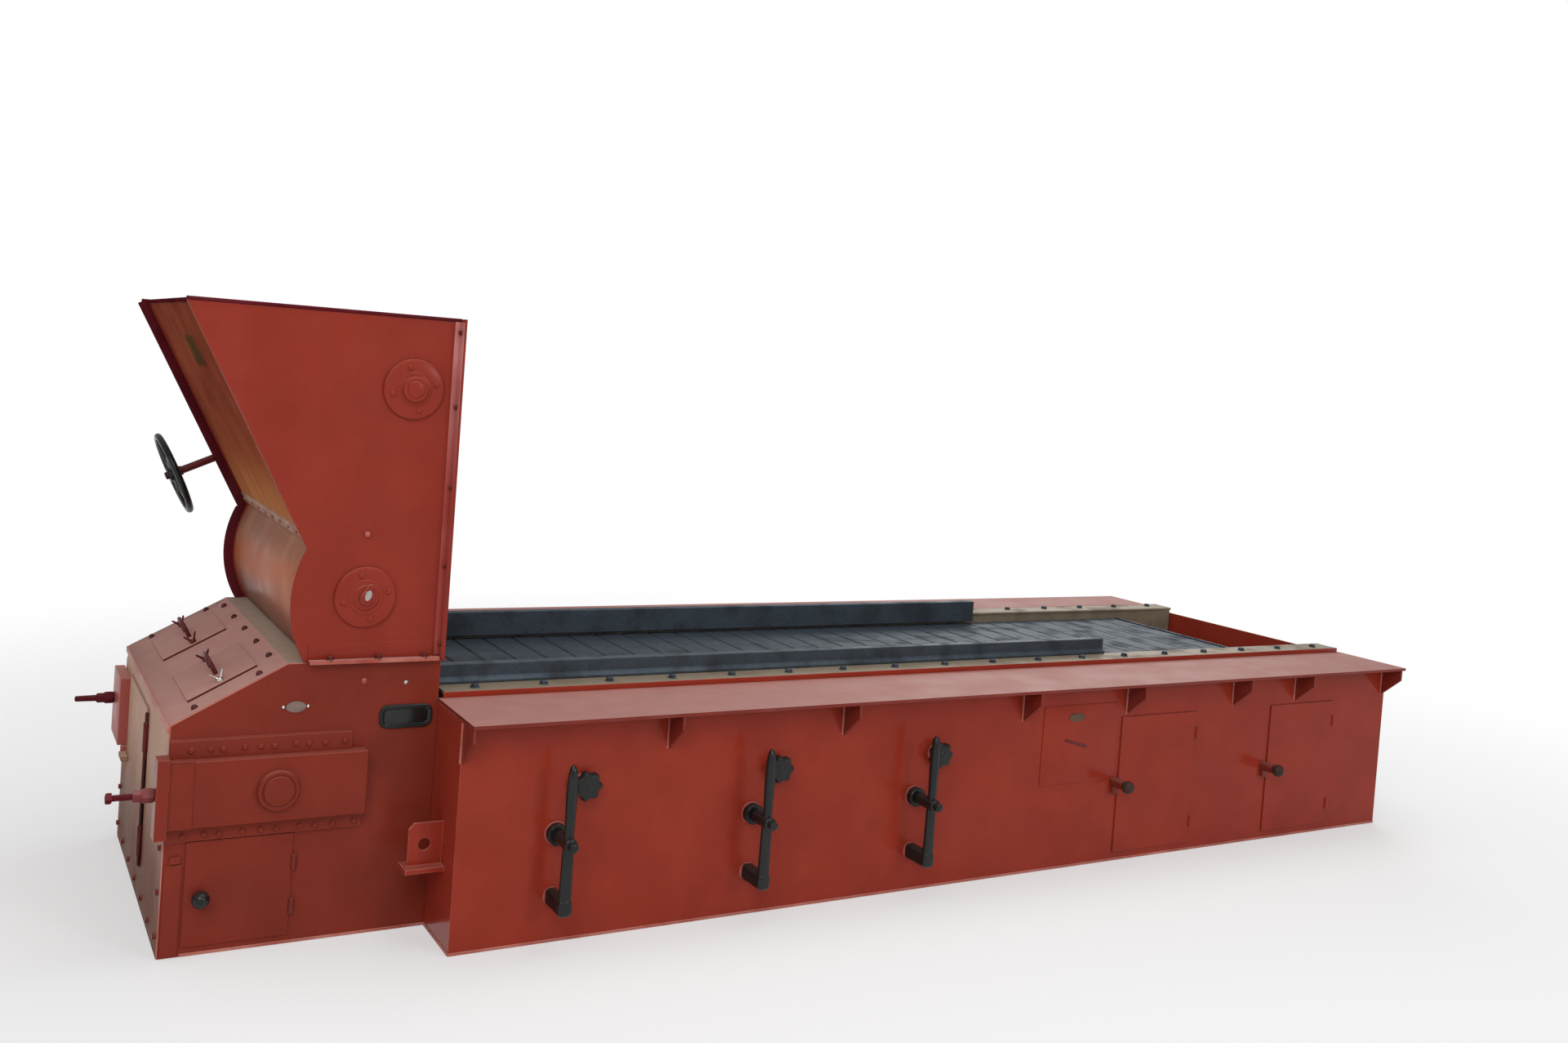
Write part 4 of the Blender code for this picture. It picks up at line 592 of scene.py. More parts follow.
def plate(outline: Array, thick: float, edge: float) -> Surface:
    """Return a plate whose upper edge is a quarter round.

    The edge is drawn in by e (1 - cos t) where its height is e sin t above the edge's start.

    Args:
        outline: Points round the plate.
        thick: Its thickness.
        edge: Radius e of the edge.

    Returns:
        The plate, lying on height 0.
    """
    angle = np.linspace(0.0, TURN / 4, 4)
    inset = np.concatenate(((0.0,), edge * (np.cos(angle) - 1.0)))
    height = np.concatenate(((0.0,), thick - edge + edge * np.sin(angle)))
    return carried(outline, np.stack((inset, height), -1), False)


def slab(size: Pair, thick: float, corner: float, edge: float, steps: int = 5) -> Surface:
    """Return a plate with rounded corners and a rounded upper edge."""
    return plate(rounded(*size, corner, steps), thick, edge)


def swept(path: Array, section: Array, across: Sequence[float], scale: Optional[Array] = None) -> Surface:
    """Carry a section along a path in one plane: path + s (u across + v side), side = tangent x across.

    Args:
        path: Points of the path.
        section: Section points (u, v).
        across: Normal of the path's plane.
        scale: Factor s on the section at each point of the path.

    Returns:
        The swept surface with flat ends.
    """
    path = np.asarray(path, float)
    tangent = np.gradient(path, axis=0)
    tangent /= np.linalg.norm(tangent, axis=1, keepdims=True)
    side = np.cross(tangent, across)
    scale = np.ones(len(path)) if scale is None else np.asarray(scale, float)
    offset = section[None, :, :1] * np.asarray(across, float) + section[None, :, 1:] * side[:, None]
    return lattice(path[:, None] + scale[:, None, None] * offset)


def rod(path: Array, radius: float, across: Sequence[float], scale: Optional[Array] = None,
        sides: int = 12) -> Surface:
    """Carry a circle along a path in one plane."""
    return swept(path, oval(2 * radius, 2 * radius, sides), across, scale)


def bead(start: Triple, stop: Triple, across: Triple, radius: float = 0.004, pitch: float = 0.012) -> Surface:
    """Return a weld bead: a rod whose radius swells in ripples.

    The factor is 0.85 + 0.25 |sin(pi s / pitch)| + 0.1 sin(37 u) at length s, a share u of the whole.

    Args:
        start: Start of the weld.
        stop: Its end.
        across: A direction across it.
        radius: Its radius.
        pitch: Length of a ripple.

    Returns:
        The bead.
    """
    length = float(np.linalg.norm(np.subtract(stop, start)))
    share = np.linspace(0.0, 1.0, max(8, int(3 * length / pitch)))
    path = np.asarray(start) + share[:, None] * np.subtract(stop, start)
    swell = 0.85 + 0.25 * np.abs(np.sin(math.pi * share * length / pitch)) + 0.1 * np.sin(37.0 * share)
    return rod(path, radius, across, swell, 6)


def thread(radius: float, depth: float, pitch: float, length: float, sides: int = 20) -> Surface:
    """Return a screw thread: radius r - d |2 frac(h / p - a / turn) - 1| at height h and angle a.

    Args:
        radius: Outer radius r.
        depth: Depth d of the thread.
        pitch: Height p of one turn.
        length: Length of the thread.
        sides: Facets round the axis.

    Returns:
        The thread, standing on height 0.
    """
    height = np.linspace(0.0, length, int(length / pitch * 6) + 1)[:, None]
    angle = np.linspace(0.0, TURN, sides, endpoint=False)[None]
    reach = radius - depth * np.abs(2.0 * ((height / pitch - angle / TURN) % 1.0) - 1.0)
    grid = np.broadcast_arrays(reach * np.cos(angle), reach * np.sin(angle), height)
    return lattice(np.stack(grid, axis=-1))


def spin(angles: Array) -> Array:
    """Return turns about the outward axis.

    Args:
        angles: The angles.

    Returns:
        One matrix for each angle.
    """
    c, s = np.cos(angles), np.sin(angles)
    zero, one = np.zeros_like(c), np.ones_like(c)
    return np.stack((c, -s, zero, s, c, zero, zero, zero, one), -1).reshape(-1, 3, 3)


@dataclass(frozen=True)
class Bolt:
    """Hexagon-headed bolt on a washer."""

    across: float = 0.026
    head: float = 0.011
    washer: float = 0.018
    shim: float = 0.003
    twist: float = 0.7

    def surface(self) -> Surface:
        """Return the bolt: a six-sided turned head with a chamfer, on a turned washer.

        Returns:
            Head and washer.
        """
        r = self.across / math.sqrt(3.0)
        top = self.shim + self.head
        head = turned(((r, self.shim / 2), (r, top - 0.2 * r), (0.80 * r, top)), 6)
        w, t = self.washer, self.shim
        return joined(head, turned(((w, -t), (w, 0.7 * t), (0.92 * w, t)), 14))

    def row(self, places: Array, turn: Array) -> Surface:
        """Return bolts at several places, each with its head turned a little further.

        Args:
            places: Where the washers lie.
            turn: Axes of the surface that they stand on.

        Returns:
            All the bolts.
        """
        places = np.asarray(places, float).reshape(-1, 3)
        return self.surface().copies(places, turn @ spin(self.twist * np.arange(len(places))))


@dataclass(frozen=True)
class Rivet:
    """Round-headed rivet."""

    radius: float = 0.006
    rise: float = 0.004

    def row(self, places: Array, turn: Array) -> Surface:
        """Return rivets: domes of radius r cos t and height h sin t.

        Args:
            places: Where they stand.
            turn: Axes of the surface that they stand on.

        Returns:
            All the rivets.
        """
        angle = np.linspace(0.0, 1.35, 4)
        profile = [(self.radius, -self.rise), *zip(self.radius * np.cos(angle), self.rise * np.sin(angle))]
        return turned(profile, 12).copies(places, turn)


SMALL_BOLT = Bolt(0.016, 0.008, 0.011, 0.002)


def lifted(profile: Profile, rise: float, scale: float = 1.0) -> list[Pair]:
    """Return a profile with its radii scaled and its heights moved up."""
    return [(scale * radius, height + rise) for radius, height in profile]


def barrel(radius: float, ends: Pair, chamfer: Pair, sides: int) -> Surface:
    """Turn a cylinder with broken ends.

    Args:
        radius: Its radius.
        ends: Heights of its lower and upper end.
        chamfer: Depth and length of the broken ends.
        sides: Facets round the axis.

    Returns:
        The cylinder.
    """
    (low, high), (depth, length) = ends, chamfer
    profile = ((radius - depth, low), (radius, low + length), (radius, high - length), (radius - depth, high))
    return turned(profile, sides)


def circle(count: int, start: float) -> Array:
    """Return points round an upright circle that faces across: (cos a, 0, sin a) from a first angle on."""
    angle = np.arange(count) * TURN / count + start
    return np.stack((np.cos(angle), 0 * angle, np.sin(angle)), -1)


def line(start: Sequence[float], stop: Sequence[float], count: int) -> Array:
    """Return points spread evenly between two points."""
    return np.asarray(start) + np.linspace(0.0, 1.0, count)[:, None] * np.subtract(stop, start)


def lean(angle: float) -> Array:
    """Return the axes of a plate that looks up and rises rearward by an angle."""
    c, s = math.cos(angle), math.sin(angle)
    return np.array(((c, 0.0, -s), (0.0, 1.0, 0.0), (s, 0.0, c)))


def middle(node: str) -> Array:
    """Return the centre of a node's box."""
    low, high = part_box(node)
    return (np.array(low) + np.array(high)) / 2


def axis_of(joint: str) -> tuple[Array, Array]:
    """Return a point on a joint's axis and the axis itself."""
    found = next(entry for entry in frame["joints"] if entry["name"] == joint)
    return np.array(found["pos_m"], float), np.array(found["axis"], float)


def front_plane() -> float:
    """Return where the side plates of the feed end start along X."""
    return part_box("front_side_plate_near")[0][0]


def wall_plane() -> float:
    """Return how far the walls of the body stand from the middle."""
    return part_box("body_wall_far")[1][1]


def meshed(name: str, surface: Surface, sharp: float) -> bpy.types.Mesh:
    """Turn a surface into a mesh with merged points and faces that point outward.

    Args:
        name: Name of the mesh.
        surface: Its shape.
        sharp: Angle above which an edge stays sharp.

    Returns:
        The mesh.
    """
    mesh = bpy.data.meshes.new(name)
    totals = np.concatenate([np.full(len(face), face.shape[1]) for face in surface.faces])
    corners = np.concatenate([face.ravel() for face in surface.faces])
    mesh.vertices.add(len(surface.points))
    mesh.vertices.foreach_set("co", surface.points.astype(np.float32).ravel())
    mesh.loops.add(len(corners))
    mesh.loops.foreach_set("vertex_index", corners.astype(np.int32))
    mesh.polygons.add(len(totals))
    mesh.polygons.foreach_set("loop_start", (np.cumsum(totals) - totals).astype(np.int32))
    mesh.update(calc_edges=True)
    solid = bmesh.new()
    solid.from_mesh(mesh)
    bmesh.ops.remove_doubles(solid, verts=solid.verts, dist=MERGE)
    bmesh.ops.recalc_face_normals(solid, faces=solid.faces)
    solid.to_mesh(mesh)
    solid.free()
    mesh.shade_smooth()
    mesh.set_sharp_from_angle(angle=sharp)
    return mesh


def show(name: str, surface: Surface, coat: Coat, body: str = "stoker", slot: Slot = Slot.RED,
         stands_for: Sequence[str] = (), sharp: float = SHARP) -> None:
    """Make a piece of the visual model.

    Args:
        name: Name of the piece.
        surface: Its shape, in place.
        coat: Its finish.
        body: Body that it moves with.
        slot: Slot of the record that it takes its finish from; not used.
        stands_for: Nodes that it replaces.
        sharp: Angle above which an edge stays sharp.
    """
    mesh = meshed(name, surface, sharp)
    piece = bpy.data.objects.new(name, mesh)
    bpy.context.scene.collection.objects.link(piece)
    mesh.materials.append(coat.material())
    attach(piece, body)
    if stands_for:
        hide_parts(*stands_for)
    LOG.info("%s: %d faces on %s", name, len(mesh.polygons), body)


def dress(node: str, coat: Coat, worn: Optional[Coat] = Coat.EDGE, width: float = 0.0025) -> None:
    """Finish a node of the model, with its edges broken and worn.

    Args:
        node: Name of the node.
        coat: Its finish.
        worn: Finish of its broken edges, or None to leave the edges as they are.
        width: Width of the broken edges.
    """
    piece = frame["nodes"][node]
    piece.data.materials.clear()
    piece.data.materials.append(coat.material())
    if worn:
        piece.data.materials.append(worn.material())
        weld = piece.modifiers.new("weld", "WELD")
        weld.merge_threshold = WELD
        flat = piece.modifiers.new("flat", "DECIMATE")
        flat.decimate_type = "DISSOLVE"
        flat.angle_limit = FLAT
        edge = piece.modifiers.new("edge", "BEVEL")
        edge.width = width
        edge.segments = 2
        edge.limit_method = "ANGLE"
        edge.angle_limit = BROKEN
        edge.material = 1
    LOG.info("%s: dressed as %s", node, coat.value.name)


@dataclass
class FrontBox:
    """Feed end: the box under the hopper, with its slope, sight port and bare plates."""

    slope: float = math.atan2(0.182, 0.343)
    edge_height: float = 0.735
    slope_bolt: Rivet = Rivet(0.0115, 0.0125)
    slope_top: float = 0.318
    slope_top_y: Sequence[float] = (-0.432, -0.200, 0.034, 0.262, 0.491)
    slope_side: float = 0.572
    slope_side_x: Sequence[float] = (0.076, 0.265)
    lip_height: float = 0.022
    lip_drop: float = 0.012
    oval_at: Pair = (0.374, 0.776)
    oval_size: Pair = (0.062, 0.036)
    oval_rim: Profile = ((-0.004, 0.001), (0.0, 0.001), (0.0, 0.004), (-0.004, 0.004))
    oval_rivet: Rivet = Rivet(0.0065, 0.005)
    oval_rivet_out: float = 0.62
    port_at: Pair = (0.732, 0.726)
    port_size: Pair = (0.165, 0.067)
    port_corner: float = 0.023
    port_rim: Profile = ((-0.010, 0.001), (0.006, 0.001), (0.006, 0.006), (0.003, 0.009),
                         (-0.007, 0.009), (-0.010, 0.007))
    pane_inset: float = 0.004
    pane_sunk: float = 0.006
    red_stud: Rivet = Rivet(0.010, 0.006)
    red_stud_at: Pair = (0.587, 0.849)
    bright_stud: Rivet = Rivet(0.009, 0.007)
    bright_stud_at: Pair = (0.726, 0.840)
    strip_at: Pair = (0.034, 0.150)
    strip_size: Pair = (0.052, 0.29)
    tab_at: Pair = (0.038, 0.311)
    tab_size: Pair = (0.031, 0.022)
    face_bolt: Bolt = Bolt(0.016, 0.007, 0.011)
    face_bolt_out: float = 0.580
    face_bolt_z: Sequence[float] = (0.06, 0.20, 0.34)
    face_bolt_y: Sequence[float] = (-0.40, -0.20, 0.0, 0.20, 0.40)
    face_bolt_low: float = 0.045
    pin_radius: float = 0.005
    pin_in: float = 0.010
    knuckle_radius: float = 0.0088
    knuckle_length: float = 0.104
    knuckle_in: float = 0.095
    keeper_size: Pair = (0.018, 0.052)
    keeper_out: float = 0.013
    keeper_height: float = 0.367

    def __post_init__(self) -> None:
        """Read the box's planes from the frame."""
        self.front, self.near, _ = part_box("front_side_plate_near")[0]
        self.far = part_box("front_side_plate_far")[1][1]

    def on_slope(self, along: float, across: float, rise: float = 0.0) -> Triple:
        """Return a point of the slope.

        Args:
            along: Distance along X from the front.
            across: Place across the box.
            rise: Distance above the slope.

        Returns:
            The point.
        """
        x = self.front + along - rise * math.sin(self.slope)
        z = self.edge_height + along * math.tan(self.slope) + rise * math.cos(self.slope)
        return x, across, z

    def on_near(self, place: Pair) -> Triple:
        """Return a point of the near side, at a distance from the front and a height."""
        return self.front + place[0], self.near, place[1]

    def plates(self) -> None:
        """Dress the box's plates."""
        for flank in Flank:
            dress("front_side_plate_" + flank.label, Coat.FRONT)
        dress("front_end_plate", Coat.DUSTY, Coat.DUSTY)
        dress("front_top_plate", Coat.SLOPE)

    def slope_fittings(self) -> None:
        """Make the round-headed bolts and the folded lip of the slope."""
        places = [self.on_slope(self.slope_top, y) for y in self.slope_top_y]
        places += [self.on_slope(x, side * self.slope_side) for x in self.slope_side_x for side in (-1, 1)]
        show("slope_bolts", self.slope_bolt.row(places, lean(self.slope)), Coat.BOLT)
        lip = slab((self.far - self.near, self.lip_height), thick=0.006, corner=0.003, edge=0.002)
        place = (self.front, 0.0, self.edge_height - self.lip_drop)
        show("slope_front_lip", lip.put(FRONT, place), Coat.EDGE)

    def bare_oval(self) -> None:
        """Make the bare oval plate of the near side: a plate inside a raised oval rim, and two rivets."""
        x, y, z = self.on_near(self.oval_at)
        outline = oval(*self.oval_size)
        rim = carried(outline, np.array(self.oval_rim), True)
        blank = joined(plate(outline, thick=0.003, edge=0.001), rim)
        show("oval_plate_near", blank.put(NEAR, (x, y, z)), Coat.PLATE, slot=Slot.STEEL)
        half = self.oval_rivet_out * self.oval_size[0]
        rivets = self.oval_rivet.row([(x - half, y, z), (x + half, y, z)], NEAR)
        show("oval_plate_rivets", rivets, Coat.BRIGHT, slot=Slot.STEEL)

    def sight_port(self) -> None:
        """Make the sight port: a black frame round a dark pane that lies just under its face."""
        outline = rounded(*self.port_size, self.port_corner, 8)
        x, y, z = self.on_near(self.port_at)
        rim = carried(outline, np.array(self.port_rim), True)
        show("sight_port_rim", rim.put(NEAR, (x, y, z)), Coat.BLACK, slot=Slot.BLACK)
        pane = plate(outline - self.pane_inset * outward(outline), thick=0.012, edge=0.001)
        show("sight_port_glass", pane.put(NEAR, (x, y + self.pane_sunk, z)), Coat.GLASS, slot=Slot.BLACK)

    def near_fittings(self) -> None:
        """Make the studs of the near side, and the strip and tab at its front corner."""
        for name, place, rivet, coat in (("red", self.red_stud_at, self.red_stud, Coat.EDGE),
                                         ("bright", self.bright_stud_at, self.bright_stud, Coat.BRIGHT)):
            stud = rivet.row([self.on_near(place)], NEAR)
            show("wall_stud_" + name, stud, coat, slot=Slot.STEEL)
        strip = slab(self.strip_size, thick=0.006, corner=0.004, edge=0.002)
        tab = slab(self.tab_size, thick=0.010, corner=0.003, edge=0.002)
        strip = strip.put(NEAR, self.on_near(self.strip_at))
        show("corner_strip_near", joined(strip, tab.put(NEAR, self.on_near(self.tab_at))), Coat.FRONT)

    def front_fittings(self) -> None:
        """Make the bolts round the front face, and the front door's hinge pin, knuckles and keeper."""
        places = [(self.front, side * self.face_bolt_out, z) for side in (-1, 1) for z in self.face_bolt_z]
        places += [(self.front, y, self.face_bolt_low) for y in self.face_bolt_y]
        show("front_face_bolts", self.face_bolt.row(places, FRONT), Coat.SHADE)
        low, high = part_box("front_door")
        x, y, _ = axis_of("front_door_hinge")[0]
        pin = barrel(self.pin_radius, (low[2] + self.pin_in, high[2] - self.pin_in), (0.001, 0.004), 14)
        show("front_door_pin", pin.put(UPRIGHT, (x, y, 0.0)), Coat.BOLT)
        half = self.knuckle_length / 2
        knuckle = barrel(self.knuckle_radius, (-half, half), (0.002, 0.003), 24)
        places = [(x, y, z) for z in (low[2] + self.knuckle_in, high[2] - self.knuckle_in)]
        show("front_door_knuckles", knuckle.copies(places, UPRIGHT), Coat.ROD, "front_leaf")
        keeper = slab(self.keeper_size, thick=0.024, corner=0.004, edge=0.003)
        place = (self.front, high[1] + self.keeper_out, self.keeper_height)
        show("front_door_keeper", keeper.put(FRONT, place), Coat.EDGE)

    def build(self) -> None:
        """Make and dress everything of the front box."""
        self.plates()
        self.slope_fittings()
        self.bare_oval()
        self.sight_port()
        self.near_fittings()
        self.front_fittings()


@dataclass
class Hatch:
    """Hatch in the slope, with a handle and two wing nuts."""

    box: FrontBox
    flank: Flank
    width: float = 0.36
    start: float = 0.077
    length: float = 0.234
    thick: float = 0.006
    handle_half: float = 0.055
    handle_height: float = 0.067
    handle_radius: float = 0.0075
    handle_power: float = 0.55
    nut_out: float = 0.157
    nut_profile: Profile = ((0.011, 0.0), (0.011, 0.007), (0.008, 0.013))
    prong_start: Pair = (0.006, 0.008)
    prong_reach: Pair = (0.016, 0.026)
    near_seam: Pair = (0.006, 0.0035)
    far_seam: Pair = (0.003, 0.002)

    def __post_init__(self) -> None:
        """Work out the slope's axes, and where the middle of the hatch lies."""
        self.turn = lean(self.box.slope)
        self.along = (self.start + self.length / 2) * math.cos(self.box.slope)
        self.centre = float(middle("hatch_" + self.flank.label)[1])

    def put(self, surface: Surface, across: float = 0.0, rise: float = 0.0) -> Surface:
        """Return a surface set on the slope, at a distance across from the hatch's middle and above it."""
        return surface.put(self.turn, self.box.on_slope(self.along, self.centre + across, rise))

    def handle(self) -> Surface:
        """Return the handle: a rod along a squared arch.

        The arch is y = half cos t and rise = height sin t, with both waves raised to a power.

        Returns:
            The handle, standing on height 0.
        """
        angle = np.linspace(0.0, math.pi, 29)
        y = self.handle_half * np.sign(np.cos(angle)) * np.abs(np.cos(angle)) ** self.handle_power
        rise = self.handle_height * np.abs(np.sin(angle)) ** self.handle_power
        return rod(np.stack((np.zeros_like(y), y, rise), -1), self.handle_radius, ALONG)

    def wing_nut(self) -> Surface:
        """Return a wing nut: a turned boss, and two flat prongs that rise outward in a V along the slope.

        A prong's middle line goes out as s and up as s to the power 0.8, and thins as 1.15 - 0.4 s.

        Returns:
            The wing nut, standing on height 0.
        """
        boss = turned(self.nut_profile, 14)
        share = np.linspace(0.0, 1.0, 8)
        out = self.prong_start[0] + self.prong_reach[0] * share
        rise = self.prong_start[1] + self.prong_reach[1] * share ** 0.8
        section = rounded(0.009, 0.008, 0.003, 2)
        prong = swept(np.stack((out, 0 * share, rise), -1), section, ACROSS, 1.15 - 0.4 * share)
        wings = prong.copies(np.zeros((2, 3)), spin(np.array((0.0, math.pi))))
        return joined(boss, wings)

    def seams(self) -> Surface:
        """Return the dark joints along the near and far edges: a wide strip and a thin one.

        Returns:
            Both strips.
        """
        near = slab((self.length, self.near_seam[0]), thick=0.003, corner=0.001, edge=0.0008)
        far = slab((self.length, self.far_seam[0]), thick=0.002, corner=0.001, edge=0.0008)
        half = self.width / 2
        return joined(self.put(near, -half - self.near_seam[1]), self.put(far, half + self.far_seam[1]))

    def build(self) -> None:
        """Make the hatch."""
        label = self.flank.label
        body = label + "_hatch"
        leaf = slab((self.length, self.width), thick=self.thick, corner=0.006, edge=0.002)
        show("hatch_leaf_" + label, self.put(leaf), Coat.SLOPE, body, stands_for=("hatch_" + label,))
        show("hatch_handle_" + label, self.put(self.handle()), Coat.ROD, body)
        show("hatch_seams_" + label, self.seams(), Coat.SEAM)
        for end in Flank:
            nut = self.put(self.wing_nut(), end.value * self.nut_out, self.thick)
            coat = Coat.BRIGHT if self.flank is end is Flank.NEAR else Coat.ROD
            show("hatch_nut_%s_%s" % (label, end.label), nut, coat, body, Slot.STEEL)


@dataclass
class TakeUp:
    """Take-up of one side: the front shaft's carriage, its guides and its tension screw."""

    flank: Flank
    corner: float = 0.006
    edge: float = 0.004
    depth: float = 0.050
    boss: Profile = ((0.065, 0.04), (0.065, 0.064), (0.062, 0.068), (0.053, 0.068), (0.051, 0.065),
                     (0.048, 0.065), (0.046, 0.073), (0.043, 0.074), (0.020, 0.074))
    cover_out: float = 0.002
    cover_length: float = 0.075
    lid_width: float = 0.038
    lid_in: float = 0.015
    shank_radius: float = 0.012
    nut: Profile = ((0.85, 0.0005), (1.0, 0.005), (1.0, 0.031), (0.85, 0.036))
    collar: Profile = ((0.017, 0.034), (0.018, 0.036), (0.018, 0.058), (0.015, 0.062))
    tip_start: float = 0.06
    square_end: Profile = ((0.016, -0.018), (0.0175, -0.015), (0.0175, -0.003), (0.015, 0.0))
    guide_bolt: Bolt = Bolt(0.015, 0.007, 0.010, 0.002)
    guide_bolts: int = 10
    guide_plate: float = 0.014
    upper_row: Triple = (0.10, -0.075, -0.030)
    lower_row: Triple = (0.09, -0.03, 0.017)
    weld_ends: Pair = (0.04, -0.05)

    def carriage(self) -> None:
        """Make the carriage, a plate with rounded edges and a turned boss, and the cover of its front end."""
        side, label, face = self.flank.parts()
        node = "takeup_carriage_" + label
        low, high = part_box(node)
        wall = min(abs(low[1]), abs(high[1]))
        x, _, z = middle(node)
        size = (high[0] - low[0], high[2] - low[2])
        block = slab(size, self.depth, self.corner, self.edge).put(face, (x, side * wall, z))
        show("carriage_block_" + label, block, Coat.FRONT, "takeup", stands_for=(node,))
        shaft = middle("front_shaft")
        boss = turned(self.boss, 48).put(face, (shaft[0], side * wall, shaft[2]))
        show("carriage_boss_" + label, boss, Coat.FRONT, "takeup")
        x = front_plane() - self.cover_out + self.cover_length / 2
        cover = slab((self.cover_length, size[1] - 0.002), thick=0.003, corner=0.002, edge=0.001)
        cover = cover.put(face, (x, side * (wall + self.depth + 0.001), z))
        lid = slab((self.cover_length, self.lid_width), thick=0.003, corner=0.002, edge=0.001)
        lid = lid.put(TOP, (x, side * (wall + self.depth - self.lid_in), high[2] + 0.0005))
        show("carriage_cover_" + label, joined(cover, lid), Coat.FRONT)

    def screw(self) -> None:
        """Make the tension screw: shank, nut, collar, threaded rod and square end along one axis.

        The far screw has a plain tapered rod and no square end.
        """
        label = self.flank.label
        node, body = "tension_screw_" + label, label + "_screw"
        low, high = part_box(node)
        place = (high[0], *middle(node)[1:])
        bracket = high[0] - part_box("takeup_frame_" + label)[0][0]
        length = high[0] - low[0]
        shank = turned(((self.shank_radius, 0.0), (self.shank_radius, bracket + 0.001)), 20)
        start = bracket + self.tip_start
        if self.flank is Flank.FAR:
            taper = ((0.017, start), (0.012, length - 0.08), (0.0105, length - 0.004), (0.007, length))
            rods, coat = (shank, turned(taper, 20)), Coat.RIM
        else:
            tip = thread(radius=0.0105, depth=0.0018, pitch=0.004, length=length - bracket - 0.074)
            head = turned(lifted(self.square_end, length), 4)
            rods, coat = (shank, tip.put(UPRIGHT, (0.0, 0.0, start)), head), Coat.LILAC
        nut = turned(lifted(self.nut, bracket, place[2] - low[2]), 6)
        collar = turned(lifted(self.collar, bracket), 24)
        show("tension_rod_" + label, joined(*rods).put(FRONT, place), Coat.RIM, body, stands_for=(node,))
        show("tension_nut_" + label, joined(nut, collar).put(FRONT, place), coat, body)

    def guides(self) -> None:
        """Dress the guide strips and set their bolts and welds.

        The bolts are in two rows, a little out of line: bolt k is along by a wave sin(2.3 k), and up by a
        fifth of it.
        """
        side, label, face = self.flank.parts()
        node = "takeup_frame_" + label
        # The near guide takes the darker front red; the far guide takes the pale red as painted light,
        # lifting a guide that stands in shade.
        dress(node, Coat.FRONT if side < 0 else Coat.FLANGE)
        low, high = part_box(node)
        wall = -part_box("takeup_frame_near")[1][1]
        y = side * (wall + self.guide_plate)
        wave = 0.008 * np.sin(np.arange(self.guide_bolts) * 2.3)
        places = []
        for (start, stop, rise), edge in ((self.upper_row, high[2]), (self.lower_row, low[2])):
            row = line((low[0] + start, y, edge + rise), (high[0] + stop, y, edge + rise), self.guide_bolts)
            places.append(row + np.stack((wave, 0 * wave, 0.2 * wave), -1))
        bolts = self.guide_bolt.row(np.concatenate(places), face)
        show("guide_bolts_" + label, bolts, Coat.FRONT)
        ends = [(x + shift, side * wall, high[2]) for x, shift in zip((low[0], high[0]), self.weld_ends)]
        show("guide_weld_" + label, bead(*ends, ACROSS, radius=0.005, pitch=0.016), Coat.FRONT)

    def build(self) -> None:
        """Make and dress the take-up."""
        self.carriage()
        self.screw()
        self.guides()


